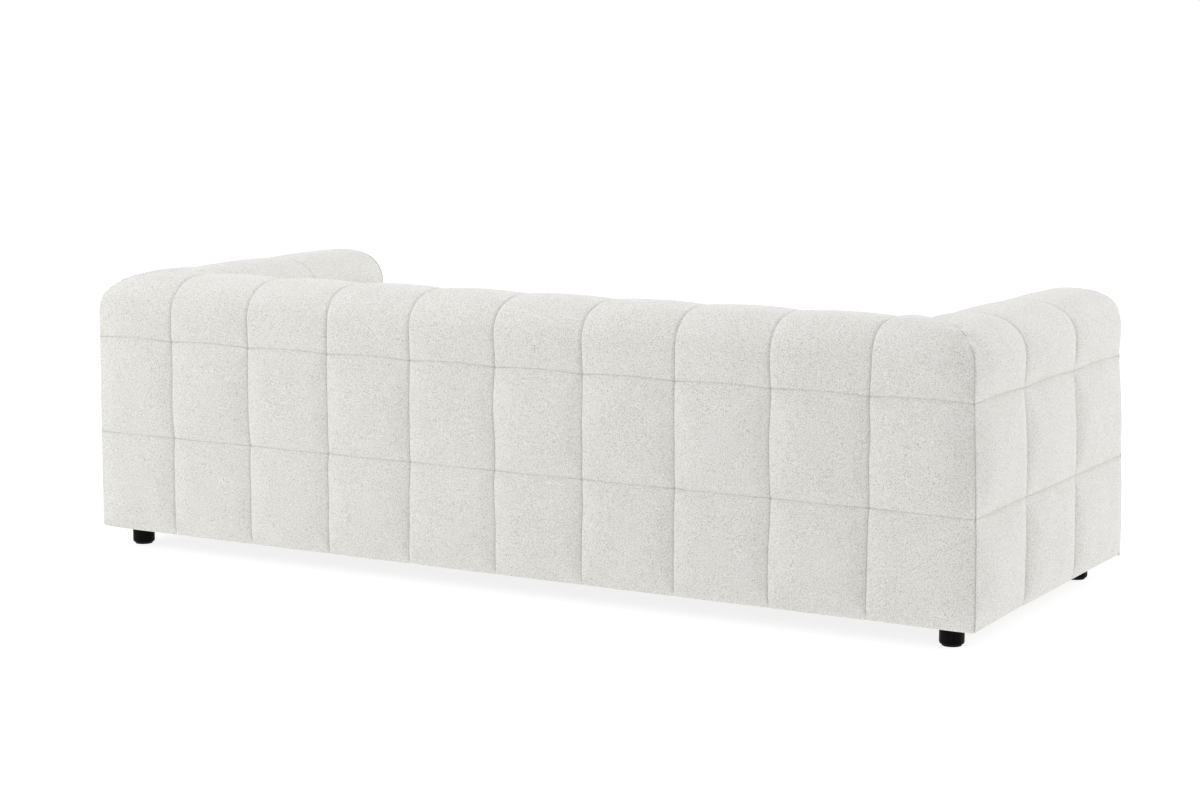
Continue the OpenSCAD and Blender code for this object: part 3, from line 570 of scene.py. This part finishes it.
def swell(piece, look=swellLook):
    scene = bpy.context.scene
    mesh = piece.data
    hold = [0.0] * len(mesh.vertices)
    cap = [0.0] * len(mesh.vertices)
    mesh.attributes["hold"].data.foreach_get("value", hold)
    mesh.attributes["cap"].data.foreach_get("value", cap)
    group = piece.vertex_groups.new(name="stitches")
    for index, weight in enumerate(hold):
        if weight > 0:
            group.add([index], min(weight, 1.0), "REPLACE")
    before = [v.co.copy() for v in mesh.vertices]
    normals = [v.normal.copy() for v in mesh.vertices]
    cloth = piece.modifiers.new("swelling", "CLOTH")
    for key, setting in swellCloth.items():
        setattr(cloth.settings, key, setting)
    cloth.settings.effector_weights.gravity = 0.0
    cloth.point_cache.frame_start = 1
    cloth.point_cache.frame_end = look["frames"]
    for number in range(1, look["frames"] + 1):
        scene.frame_set(number)
    shaped = piece.evaluated_get(bpy.context.evaluated_depsgraph_get())
    moved = [v.co.copy() for v in shaped.data.vertices]
    piece.modifiers.remove(cloth)
    scene.frame_set(1)
    for index, (old, new, out) in enumerate(zip(before, moved, normals)):
        shift = (new - old) * look["blend"]
        inward = shift.dot(out)
        if inward < 0:
            shift -= out * inward
        if shift.length > cap[index]:
            shift *= cap[index] / shift.length
        mesh.vertices[index].co = old + shift
    piece.vertex_groups.remove(group)
    mesh.update()


def thicken(piece, thickness):
    wall = piece.modifiers.new("cloth thickness", "SOLIDIFY")
    wall.thickness = thickness
    wall.offset = -1


def finishCloth(piece, thickness):
    if thickness:
        thicken(piece, thickness)
    rounder = piece.modifiers.new("smooth", "SUBSURF")
    rounder.levels = 1
    rounder.render_levels = 1


# Swells a shaped skin, gives it the cloth's thickness, hangs it on its body and hides the frame part it
# stands for
def makePadded(bm, name, body, node, outwards=None, thickness=0.003):
    piece = makePiece(bm, name, pileCloth, outwards)
    swell(piece)
    for extra in ("hold", "cap"):
        piece.data.attributes.remove(piece.data.attributes[extra])
    finishCloth(piece, thickness)
    register(piece, body, "cover_fabric", node)


# One tufted wall: a grid laid over the cross-section, raised into pads between its seams.
# u runs along the wall, d into it, z up. A wall with a belly is an arm.
def makeTuftedWall(name, node, places, mitres, put, outwards, seed, ends, belly=0.0, shape=coverShape):
    section = wallSection(shape)
    n = shape["cells"]
    pads = len(places) - 1
    across = pads * n
    along = len(section) - 1
    start, end = places[0], places[-1]
    first = places[1] - start
    last = end - places[-2]
    isArm = belly > 0
    bm = bmesh.new()
    bmesh.ops.create_grid(bm, x_segments=across, y_segments=along, size=0.5)
    layers = padLayers(bm)
    for vert in bm.verts:
        i = round((vert.co.x + 0.5) * across)
        j = round((vert.co.y + 0.5) * along)
        d, z, outD, outZ, levelGap, hemGap, l = section[j]
        k = min(i // n, pads - 1)
        a = ease(i / n - k)
        seams = seamPlaces(places, d, mitres, shape["wall"])
        width = seams[k + 1] - seams[k]
        u = seams[k] + width * a
        gap = min(a, 1 - a) * width
        outer = max(-outD, 0.0)
        over = max(outZ, 0.0)
        sideways = outer if isArm else 0.0
        mitred = (mitres[0] and i < n / 2) or (mitres[1] and i > across - n / 2)
        inner = 0.0 if mitred else sideways
        corner = 1 - 2 * min(a, 1 - a) if mitred and outD < 0.5 else 0.0

        # Height of the pad, lower at the level seams, the hem and the top
        quick = (shape["quick"] + sideShape["quick"] * inner) * (1 - corner)
        bend = shape["round"] * (1 + sideShape["round"] * inner)
        bulge = shape["bulge"] + sideShape["mitreBulge"] * corner
        rise = padRise(a, gap, bend, quick, bulge) if width > 1e-6 else 0.0
        rowRise = padRise(min(levelGap / rowH, 0.5), levelGap, shape["round"])
        level = 1 - (shape["rowDepth"] + sideShape["rowDepth"] * sideways) * (1 - rowRise)
        hem = shape["hemShare"] + (1 - shape["hemShare"]) * roundUp(hemGap, shape["hemRound"])
        proud = shape["topShare"] * (1 - shape["topFall"] * u / (end - start) if isArm else 1)
        puff = shape["crown"] * rise * level * hem * (1 - (1 - proud) * over)
        puff += shape["pillow"] * rise * (rowRise - shape["pillowLow"]) * hem * sideways

        # Seams that stand out between their crossings, and folds and unevenness in the cloth
        settled = min(1.0, (end - u) / shape["calm"]) if isArm else 1.0
        between = rowRise * (1 - rise) * (1 - corner) * (1 - over) * settled
        puff += shape["seamRise"] * (1 + sideShape["seamRise"] * sideways) * between * hem
        puff += shape["uneven"] * unevenness(u, l, seed) * rise * hem
        gathered = gathers(l, gap, seed + 3 + k) + gathers(u, levelGap, seed + 8) * rise
        puff += shape["gather"] * gathered * hem
        fold = 0.0
        if mitres[0]:
            fold = puckers(d, u - seams[0], outZ) * (1 if isArm else shape["backPucker"])
        puff += shape["pucker"] * fold
        if isArm and outZ == 0.0:
            puff += shape["crease"] * creases(end - u, z - hemZ, seed) * rise * hem
        levelStitch = threadLook["levelSink"] * bell(levelGap, threadLook["levelStitch"])
        puff -= shape["sink"] * max(bell(gap, threadLook["stitch"]), levelStitch) * max(abs(outD), over)

        # Place of the point: wandering seams, the bowed upper seam, flared corners and the belly
        inset = min(u - seams[0], seams[-1] - u)
        u += shape["wander"] * waver(u * 4 + seed, l * 10, 2.7) * min(1.0, inset / shape["calm"])
        if isArm and outZ > 0:
            puff += squarePush(outD, outZ, end - u)
        lift = 0.0
        if outZ == 0.0 and d < shape["wall"] / 2:
            lift = shape["bow"] * math.sin(math.pi * a) * smooth(fade(abs(z - highSeamZ), shape["bowReach"]))
        lowFlare = fade(u - start, first) ** 2 * outer * flare(z) * ends[0]
        highFlare = fade(end - u, last) ** 2 * outer * flare(z) * ends[1]
        u += highFlare - lowFlare
        d -= highFlare + lowFlare
        middle = clamp(min((u - start) / first, (end - u) / last))
        d -= belly * (1 - smooth(clamp((z - lowSeamZ) / rowH))) * outer * middle
        vert.co = put(u, d + outD * puff, z + outZ * puff + lift)

        # Painted shade along the seams and in the hollows of the folds, and what the simulation may move
        faint = threadLook["strength"] * (1 - threadLook["sideFaint"] * inner)
        faint *= (1 - threadLook["topFaint"] * over) * (1 - threadLook["mitreFaint"] * (corner > 0))
        crossingShade = threadLook["crossingShade"] * bell(gap, threadLook["crossingReach"])
        levelSeamShade = (threadLook["levelStrength"] + crossingShade) * bell(levelGap, threadLook["level"])
        # painted shade: the seams' dark line, fainter on the arms' sides, over the top and at a mitre, and
        # the fold hollows
        thread = max(faint * bell(gap, threadLook["upright"]), levelSeamShade)
        shade = max(thread, threadLook["fold"] * max(-fold, 0.0) ** 2)
        onEdge = i in (0, across) or j in (0, along) or hemGap == 0.0
        held = onEdge or min(gap, levelGap) < swellRoom["seam"]
        room = swellRoom["inner" if outD > 0.5 else "outer"]
        mark(vert, layers, shade if hemGap > 0 else 0.0, held, room)
    makePadded(bm, name, "sofa_frame", node, outwards)


def backOut(p):
    return p - Vector((p.x, backY - coverShape["wall"] / 2, min(p.z, shoulderZ)))


def armOut(p):
    side = 1 if p.x > 0 else -1
    return p - Vector((side * (endX - coverShape["wall"] / 2), p.y, min(p.z, shoulderZ)))


# The back has eight columns between the arms and one at each end, an arm has three
columns = [-seatX + 2 * seatX * k / 8 for k in range(9)]
makeTuftedWall("backCover", "back_cover", [-endX, *columns, endX], (1, 1),
               lambda u, d, z: Vector((u, backY - d, z)), backOut, 1.0, (1.0, coverShape["farFlare"]))
armRun = backY - panelY
armPlaces = [share * armRun for share in (0.0, 0.312, 0.656, 1.0)]
for sideName, side, rearFlare, seed in (("left", 1, coverShape["farFlare"], 21.0), ("right", -1, 1.0, 43.0)):
    makeTuftedWall(sideName + "ArmCover", sideName + "_arm_cover", armPlaces, (1, 0),
                   lambda u, d, z: Vector((side * (endX - d), backY - u, z)), armOut, seed,
                   (rearFlare, coverShape["frontFlare"]), coverShape["belly"])
print("tufted covers made")


# Panels that close the front ends of the arms, cut to the wall's outline and padded to a low crown
frontPanelShape = {
    "crown": 0.0105,
    "round": 0.050,
    "edgeShare": 0.6,  # share of the crown that rises near the edge
    "uneven": 0.0010,
    "clear": 0.0008,   # gap to the arm's front board
    "across": 26,
    "up": 52,
}


def makeArmFront(sideName, side, seed, shape=frontPanelShape):
    t = coverShape["wall"]
    bm = bmesh.new()
    bmesh.ops.create_grid(bm, x_segments=shape["across"], y_segments=shape["up"], size=0.5)
    layers = padLayers(bm)
    for vert in bm.verts:
        share = 0.5 - 0.5 * math.cos(math.pi * (vert.co.y + 0.5))
        d, top, outD, outZ = crestPoint(math.pi * (vert.co.x + 0.5))
        push = squarePush(outD, outZ, 0.0)
        d += outD * push * share
        top += outZ * push
        z = hemZ + (top - hemZ) * share
        gap = max(0.0, min(d, t - d, z - hemZ, (top - z) * 0.9))
        outwards = fade(d, t) ** 2 * flare(z) * coverShape["frontFlare"]
        bow = (1 - shape["edgeShare"]) * math.sin(math.pi * min(gap / t, 0.5))
        puff = shape["crown"] * (shape["edgeShare"] * roundUp(gap, shape["round"]) + bow)
        puff += shape["uneven"] * unevenness(d, z, seed) * roundUp(gap, shape["round"])
        vert.co = Vector((side * (endX - d + outwards), panelY - outwards - puff - shape["clear"], z))
        onEdge = min(share, 1 - share, d / t, 1 - d / t) < 1e-4
        # painted shade along the panel's edge seam
        mark(vert, layers, 1.0 if onEdge else 0.0, onEdge, swellRoom["armFront"])
    makePadded(bm, sideName + "ArmFront", "sofa_frame", sideName + "_arm_front_panel",
               lambda p: Vector((0, -1, 0)))


makeArmFront("left", 1, 61.0)
makeArmFront("right", -1, 67.0)
print("arm fronts made")


# Seat front between the arms: one row of eight pads, turned under at the hem and in at the deck
seatFrontShape = {
    "pads": 8,
    "cells": 18,         # faces across a pad
    "rise": 26,          # faces up the front
    "hem": 0.006,
    "turnUnder": 0.018,
    "edge": 0.003,       # radius of the edge at the deck
    "lap": 0.0032,       # how far the cover laps in over it
    "round": 0.03,
    "edgeRound": 0.035,  # height over which the pads round to the hem and the deck
    "uneven": 0.0012,
    "stitch": 0.0035,
}


def makeSeatFront(shape=seatFrontShape):
    low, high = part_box("seat_front_cover")
    n = shape["cells"]
    r = shape["hem"]
    # Depth, height and outward direction, from under the hem up the front and in over the edge
    section = [(frontY + r + shape["turnUnder"] * (1 - k / 2), low.z, 0.0) for k in range(3)]
    for k in range(1, 4):
        a = math.radians(90 * k / 3)
        section.append((frontY + r - r * math.sin(a), low.z + r - r * math.cos(a), -math.sin(a)))
    upright = high.z - shape["edge"] - low.z - r
    for k in range(1, shape["rise"] + 1):
        section.append((frontY, low.z + r + upright * ease(k / shape["rise"]), -1.0))
    section.append((frontY + shape["edge"] / 3, high.z - shape["edge"] / 3, -0.7))
    section.append((frontY + shape["lap"], high.z, 0.0))
    bm = bmesh.new()
    across = shape["pads"] * n
    along = len(section) - 1
    bmesh.ops.create_grid(bm, x_segments=across, y_segments=along, size=0.5)
    layers = padLayers(bm)
    pad = (high.x - low.x) / shape["pads"]
    for vert in bm.verts:
        i = round((vert.co.x + 0.5) * across)
        y, z, outY = section[round((vert.co.y + 0.5) * along)]
        k = min(i // n, shape["pads"] - 1)
        a = ease(i / n - k)
        x = low.x + pad * (k + a)
        gap = min(a, 1 - a) * pad
        share = (z - low.z) / (high.z - low.z)
        level = padRise(share, min(z - low.z, high.z - z), shape["edgeRound"])
        puff = coverShape["crown"] * padRise(a, gap, shape["round"]) * level
        puff += shape["uneven"] * unevenness(x, z, 71.0) * level
        stitch = bell(gap, shape["stitch"])
        puff -= coverShape["sink"] * stitch * max(-outY, 0.0)
        vert.co = Vector((x, y + outY * puff, z))
        held = gap < swellRoom["seam"] or outY > -0.9
        # painted shade in the stitched seam grooves of the front
        mark(vert, layers, stitch ** 2 if outY < -0.5 else 0.0, held, swellRoom["outer"])
    makePadded(bm, "seatFront", "sofa_frame", "seat_front_cover", lambda p: Vector((0, -1, 0)))


makeSeatFront()
print("seat front made")


# Loose seat cushions: a box of foam in a cover with a tufted top panel, plain border and flat underside
cushionShape = {
    "columns": 4,
    "rows": 3,
    "cells": 16,         # faces across a pad
    "crown": 0.012,
    "round": 0.03,
    "crossDepth": 0.65,  # how deep the cross seams are, of the long ones
    "uneven": 0.0012,
    "sink": 0.002,       # how far the stitches sink
    "stitch": 0.0035,
    "seamShare": 0.25,   # how proud of the top's edge the seams stay, of the crown
    "rim": 0.04,         # width over which the top rounds to its edge
    "sideSwell": 0.006,
    "cornerSwell": 0.4,  # share of it at the upright corners
    "sideUneven": 0.0008,
    "drawIn": 0.006,     # how far the top's edges pull in between the corners
    "drawPower": 8,
    "levels": [0, 0.008, 0.024, 0.042, 0.0580, 0.0592, 0.071, 0.0828, 0.084, 0.100, 0.118, 0.134, 0.142],
    "groove": 0.0062,    # depth of the zip's recess
    "grooveTop": 0.058,  # where the recess begins and ends, below the top
    "grooveFoot": 0.084,
    "pullRoom": 0.026,   # room for the slider past the zip's ends
}


def makeCushion(sideName, side, seed, shape=cushionShape):
    zipLow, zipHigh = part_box("left_cushion_zip")
    low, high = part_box("left_cushion_cover")
    inX = low.x + shape["sideSwell"]
    outX = high.x - shape["sideSwell"]
    nearY = low.y + shape["sideSwell"]
    farY = high.y - shape["sideSwell"]
    topZ = high.z - shape["crown"]
    n = shape["cells"]
    nx = shape["columns"] * n
    ny = shape["rows"] * n
    steps = len(shape["levels"]) - 1
    bm = bmesh.new()
    top = bmesh.ops.create_grid(bm, x_segments=nx, y_segments=ny, size=0.5)["verts"]
    bmesh.ops.translate(bm, verts=top, vec=(0, 0, steps))
    bmesh.ops.create_grid(bm, x_segments=nx, y_segments=ny, size=0.5)
    rims = [e for e in bm.edges if e.is_boundary]
    bmesh.ops.bridge_loops(bm, edges=rims)
    uprights = [e for e in bm.edges if abs(e.verts[0].co.z - e.verts[1].co.z) > 0.5]
    bmesh.ops.subdivide_edges(bm, edges=uprights, cuts=steps - 1, use_grid_fill=True)
    layers = padLayers(bm)
    padX = (outX - inX) / shape["columns"]
    padY = (farY - nearY) / shape["rows"]
    for vert in bm.verts:
        i = (vert.co.x + 0.5) * nx
        j = (vert.co.y + 0.5) * ny
        level = steps - round(vert.co.z)
        k = min(int(i / n + 1e-6), shape["columns"] - 1)
        m = min(int(j / n + 1e-6), shape["rows"] - 1)
        a = ease(i / n - k)
        b = ease(j / n - m)
        x = inX + padX * (k + a)
        y = nearY + padY * (m + b)
        relX = 2 * (x - inX) / (outX - inX) - 1
        relY = 2 * (y - nearY) / (farY - nearY) - 1
        drop = shape["levels"][level]
        x -= shape["drawIn"] * math.copysign(abs(relX) ** shape["drawPower"], relX) * (1 - relY * relY)
        y -= shape["drawIn"] * math.copysign(abs(relY) ** shape["drawPower"], relY) * (1 - relX * relX)
        z = topZ - drop
        onX = abs(relX) > 1 - 1e-5
        onY = abs(relY) > 1 - 1e-5
        seam = 0.0
        held = False
        cap = 0.0
        if level == 0:
            gapX = min(a, 1 - a) * padX
            gapY = min(b, 1 - b) * padY
            crossRise = padRise(b, gapY, shape["round"])
            rise = padRise(a, gapX, shape["round"]) * (1 - shape["crossDepth"] * (1 - crossRise))
            stitch = max(bell(gapX, shape["stitch"]), bell(gapY, shape["stitch"]))
            if not (onX or onY):
                inset = min(outX - x, x - inX, farY - y, y - nearY) + shape["drawIn"]
                fullness = shape["seamShare"] + (1 - shape["seamShare"]) * rise
                z += shape["crown"] * fullness * roundUp(inset, shape["rim"])
                z -= shape["sink"] * stitch
            z += shape["uneven"] * unevenness(x, y, seed) * rise
            # painted shade in the stitched seam grooves of the top
            seam = stitch ** 2
            held = stitch > 0.8 or onX or onY
            cap = swellRoom["outer"]
        elif level == steps:
            # painted shade along the seam round the underside's edge
            seam = 1.0 if onX or onY else 0.0
            held = True
        else:
            arch = math.sin(math.pi * drop / shape["levels"][-1])
            out = shape["sideSwell"] * arch ** 0.8 * (shape["cornerSwell"] if onX and onY else 1.0)
            out += shape["sideUneven"] * waver(x * 9, y * 9, z * 9 + seed) * arch
            byZip = zipLow.x - shape["pullRoom"] < x < zipHigh.x + shape["pullRoom"]
            if onY and relY > 0 and byZip and shape["grooveTop"] < drop < shape["grooveFoot"]:
                y = farY - shape["groove"]
                held = True
            elif onY:
                y += math.copysign(out, relY)
            if onX:
                x += math.copysign(out, relX)
            cap = swellRoom["border"]
        vert.co = Vector((side * x, y, z))
        mark(vert, layers, seam, held, cap)
    makePadded(bm, sideName + "Cushion", sideName + "_cushion", sideName + "_cushion_cover",
               thickness=None)


makeCushion("left", 1, 81.0)
makeCushion("right", -1, 87.0)
print("cushions made")


# Zips: a woven tape with teeth, made at the left cushion and mirrored for the right one
zipShape = {
    "tooth": (0.0013, 0.0016, 0.0034),
    "pitch": 0.0026,
    "shift": 0.0009,  # how far the teeth of the two sides stand apart
    "head": 0.7,      # the hooking head's width, of the root's
    "tapeT": 0.001,
}


def mirrored(bm, side):
    if side < 0:
        bmesh.ops.scale(bm, verts=bm.verts, vec=(-1, 1, 1))


def addBox(bm, size, place):
    verts = bmesh.ops.create_cube(bm, size=1.0)["verts"]
    bmesh.ops.scale(bm, verts=verts, vec=size)
    bmesh.ops.translate(bm, verts=verts, vec=place)
    return verts


def makeZipTape(sideName, side, shape=zipShape):
    low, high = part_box("left_cushion_zip")
    size = high - low
    bm = bmesh.new()
    bmesh.ops.create_grid(bm, x_segments=120, y_segments=6, size=0.5)
    for vert in bm.verts:
        vert.co = Vector((low.x + size.x * (vert.co.x + 0.5), low.y + shape["tapeT"],
                          low.z + size.z * (vert.co.y + 0.5)))
    mirrored(bm, side)
    tape = makePiece(bm, sideName + "ZipTape", tapeWeave, lambda p: Vector((0, 1, 0)))
    thicken(tape, shape["tapeT"])
    register(tape, sideName + "_cushion", "zip_tape", sideName + "_cushion_zip")


def makeZipTeeth(sideName, side, shape=zipShape):
    low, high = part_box("left_cushion_zip")
    y = low.y + shape["tapeT"] + shape["tooth"][1] / 2
    middle = (low.z + high.z) / 2
    bm = bmesh.new()
    for k in range(int((high.x - low.x) / shape["pitch"])):
        up = 1 if k % 2 else -1
        x = low.x + shape["pitch"] * (k + 0.5)
        z = middle + up * shape["shift"]
        for vert in addBox(bm, shape["tooth"], (x, y, z)):
            if (vert.co.z - z) * up < 0:
                vert.co.x = x + (vert.co.x - x) * shape["head"]
    mirrored(bm, side)
    teeth = makePiece(bm, sideName + "ZipTeeth", tapeWeave, smoothed=False)
    register(teeth, sideName + "_cushion", "zip_tape")


# Slider: a plate that narrows, two flanges that hold the teeth, and a flat pull with a slot near its free end
sliderShape = {
    "bodyL": 0.014,
    "bodyT": 0.0012,
    "narrow": 0.78,          # the plate's width at its narrow end, of the wide one
    "flangeL": 0.012,
    "flangeT": 0.0011,
    "flangeShift": 0.001,    # how far the flanges sit towards the wide end
    "bevel": 0.0003,
    "pullL": 0.026,
    "pullW": 0.0046,
    "pullT": 0.0012,
    "slot": (0.004, 0.013),  # from the free end
    "slotHalfW": 0.0005,
}


def makeSlider(sideName, side, shape=sliderShape):
    low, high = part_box("left_zip_slider")
    middle = (low.z + high.z) / 2
    bodyX = high.x - shape["bodyL"] / 2
    bodyY = high.y - shape["pullT"]
    bm = bmesh.new()
    plate = addBox(bm, (shape["bodyL"], shape["bodyT"], high.z - low.z),
                   (bodyX, bodyY - shape["bodyT"] / 2, middle))
    for vert in plate:
        if vert.co.x < bodyX:
            vert.co.z = middle + (vert.co.z - middle) * shape["narrow"]
    depth = high.y - low.y - 2 * shape["pullT"]
    flange = (shape["flangeL"], depth, shape["flangeT"])
    for edge in (low.z + shape["bodyT"] / 2, high.z - shape["bodyT"] / 2):
        addBox(bm, flange, (bodyX + shape["flangeShift"], low.y + depth / 2, edge))
    bmesh.ops.bevel(bm, geom=bm.edges[:], offset=shape["bevel"], offset_type="OFFSET", segments=2,
                    profile=0.5, affect="EDGES", material=-1, clamp_overlap=True)
    tab = bmesh.ops.create_grid(bm, x_segments=6, y_segments=3, size=0.5)["verts"]
    for vert in tab:
        x = low.x + shape["pullL"] * (vert.co.x + 0.5)
        vert.co = Vector((x, bodyY, middle + shape["pullW"] * vert.co.y))
    faces = list(dict.fromkeys(f for v in tab for f in v.link_faces))
    slotted = []
    for face in faces:
        centre = face.calc_center_median()
        inLength = shape["slot"][0] < centre.x - low.x < shape["slot"][1]
        if inLength and abs(centre.z - middle) < shape["slotHalfW"]:
            slotted.append(face)
    bmesh.ops.delete(bm, geom=slotted, context="FACES")
    lifted = bmesh.ops.extrude_face_region(bm, geom=[f for f in faces if f.is_valid])["geom"]
    liftedVerts = [g for g in lifted if isinstance(g, bmesh.types.BMVert)]
    bmesh.ops.translate(bm, verts=liftedVerts, vec=(0, shape["pullT"] * 0.9, 0))
    mirrored(bm, side)
    slider = makePiece(bm, sideName + "ZipSlider", zipMetal, smoothed=False)
    register(slider, sideName + "_zip_pull", "zip_metal", sideName + "_zip_slider")


for sideName, side in (("left", 1), ("right", -1)):
    makeZipTape(sideName, side)
    makeZipTeeth(sideName, side)
    makeSlider(sideName, side)
print("zips made")


# Deck cloth, stretched under the cushions, and the dust cover under the frame with its openings for the feet
sheetShape = {
    "cell": 0.016,
    "deckSag": 0.0008,
    "deckT": 0.001,
    "flapX": 0.003,  # how far the front flap runs past the seat's ends
    "flapY": 0.032,  # width of the flap, from the seat's front
    "dustSag": 0.0015,
    "dustT": 0.0008,
    "footGap": 0.0006,
    "footCalm": 0.03,
    "calm": 0.05,    # distance from an edge over which the sag begins
}


def makeDeckCloth(shape=sheetShape):
    low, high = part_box("deck_cloth")
    flapX = seatX + shape["flapX"]
    flapY = frontY + shape["flapY"]
    bm = bmesh.new()
    bmesh.ops.create_grid(bm, x_segments=120, y_segments=44, size=0.5)
    for vert in bm.verts:
        x = (high.x - low.x) * vert.co.x
        y = low.y + (high.y - low.y) * (vert.co.y + 0.5)
        if y < flapY:
            x *= flapX / high.x
        sag = shape["deckSag"] * (1 + waver(x * 7, y * 7, 5)) / 2
        vert.co = Vector((x, y, high.z - sag * min(1.0, (y - low.y) / shape["calm"])))
    piece = makePiece(bm, "deckCloth", deckWeave, lambda p: Vector((0, 0, 1)))
    finishCloth(piece, shape["deckT"])
    register(piece, "sofa_frame", "black_cloth", "deck_cloth")


def makeDustCover(shape=sheetShape):
    low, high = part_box("dust_cover")
    size = high - low
    cells = size / shape["cell"]
    bm = bmesh.new()
    bmesh.ops.create_grid(bm, x_segments=round(cells.x), y_segments=round(cells.y), size=0.5)
    bmesh.ops.scale(bm, verts=bm.verts, vec=(size.x, size.y, 1))
    bmesh.ops.translate(bm, verts=bm.verts, vec=(0, 0, high.z))
    area = size.x * size.y
    axes = []
    for name in footNames:
        a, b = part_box(name)
        axis = (a + b) / 2
        axes.append(axis)
        radius = (b.x - a.x) / 2 + shape["footGap"]
        inside = [f for f in bm.faces if (f.calc_center_median() - axis).xy.length < radius]
        rim = {v for f in inside for v in f.verts}
        bmesh.ops.delete(bm, geom=inside, context="FACES")
        for vert in rim:
            if vert.is_valid and vert.link_faces:
                away = (vert.co - axis).xy.normalized() * radius
                vert.co.x = axis.x + away.x
                vert.co.y = axis.y + away.y
        area -= math.pi * radius * radius
    for vert in bm.verts:
        x, y = vert.co.xy
        reach = min(abs(x - low.x), abs(high.x - x), abs(y - low.y), abs(high.y - y))
        near = min((vert.co - axis).xy.length for axis in axes)
        quiet = min(1.0, reach / shape["calm"]) * min(1.0, max(0.0, near - shape["footCalm"]) / shape["calm"])
        vert.co.z -= shape["dustSag"] * quiet * (0.6 + 0.4 * waver(x * 5, y * 5, 9))
    piece = makePiece(bm, "dustCover", spunCloth, lambda p: Vector((0, 0, -1)))
    thicken(piece, shape["dustT"])
    register(piece, "sofa_frame", "black_cloth", "dust_cover")


makeDeckCloth()
makeDustCover()
print("cloths made")


# Studio: pale floor that glows a little, a backdrop whose light is stronger from the sofa's front than
# from behind it and plain white to the camera, and three wide soft lights
studioLook = {
    "floor": "888887",
    "glow": 0.86,
    "bright": "a4a4a4",
    "dim": "8c8c8c",
    "zenith": 2.6,
    "softboxes": {  # place, target, size and power
        "leftSoftbox": ((8.2, 5.8, 3.8), (0.0, 0.2, 0.35), (4.1, 3.4), 485),
        "rightSoftbox": ((-6.8, -6.4, 3.2), (-1.0, 0.0, 0.35), (2.6, 2.4), 345),
        "overhead": ((0.0, 0.4, 4.2), (0.0, 0.0, 0.4), (4.0, 2.5), 50),
    },
}


def makeFloor(look=studioLook):
    bpy.ops.mesh.primitive_circle_add(radius=60, vertices=64, fill_type="NGON")
    floor = bpy.context.object
    floor.name = "studioFloor"
    paint = Finish("paleStudioFloor")
    paint.constants({"Base Color": toLinear(look["floor"]), "Emission Color": toLinear("ffffff"),
                     "Emission Strength": look["glow"], "Roughness": 0.9, "Specular IOR Level": 0.1})
    floor.data.materials.append(paint.material)


def makeBackdrop(look=studioLook):
    world = bpy.data.worlds.new("studioWorld")
    bpy.context.scene.world = world
    world.use_nodes = True
    tree = world.node_tree
    background = tree.nodes["Background"]
    place = addNode(tree, "ShaderNodeTexCoord")
    apart = addNode(tree, "ShaderNodeSeparateXYZ", {}, {"Vector": (place, "Generated")})
    side = addNode(tree, "ShaderNodeMapRange",
                   {"interpolation_type": "SMOOTHSTEP", "From Min": -0.7, "From Max": 0.5},
                   {"Value": (apart, "Y")})
    room, output = ramp(tree, (side, "Result"), ((0.0, look["bright"]), (1.0, look["dim"])))
    tree.links.new(room.outputs[output], background.inputs["Color"])
    height = addNode(tree, "ShaderNodeMapRange", {"To Min": 1.0, "To Max": look["zenith"]},
                     {"Value": (apart, "Z")})
    tree.links.new(height.outputs["Result"], background.inputs["Strength"])
    seen = addNode(tree, "ShaderNodeLightPath")
    plain = addNode(tree, "ShaderNodeBackground", {"Color": toLinear("ffffff")})
    choice = addNode(tree, "ShaderNodeMixShader", {},
                     {"Fac": (seen, "Is Camera Ray"), 1: (background, "Background"),
                      2: (plain, "Background")})
    tree.links.new(choice.outputs["Shader"], tree.nodes["World Output"].inputs["Surface"])


def addSoftbox(name, place, target, size, power):
    light = bpy.data.lights.new(name, "AREA")
    light.shape = "RECTANGLE"
    light.size, light.size_y = size
    light.energy = power
    holder = addObject(name, light)
    holder.location = place
    holder.rotation_euler = (Vector(target) - Vector(place)).to_track_quat("-Z", "Y").to_euler()


bpy.context.scene.view_settings.view_transform = "Standard"
makeFloor()
makeBackdrop()
for name, settings in studioLook["softboxes"].items():
    addSoftbox(name, *settings)
print("studio made")

# Camera, fitted to the seams, the outline and the feet: metres, degrees, and focal length and width in pixels
cameraFit = {"place": (-3.236, 5.600, 1.354), "pitch": 8.33, "yaw": 29.90, "focal": 2608, "pixels": 1200}
cameraData = bpy.data.cameras.new("camera")
camera = addObject("camera", cameraData)
camera.location = cameraFit["place"]
camera.rotation_euler = (math.radians(90 - cameraFit["pitch"]), 0.0, math.radians(180 + cameraFit["yaw"]))
cameraData.sensor_width = 36.0
cameraData.lens = cameraData.sensor_width * cameraFit["focal"] / cameraFit["pixels"]
cameraData.clip_end = 200.0
bpy.context.scene.camera = camera
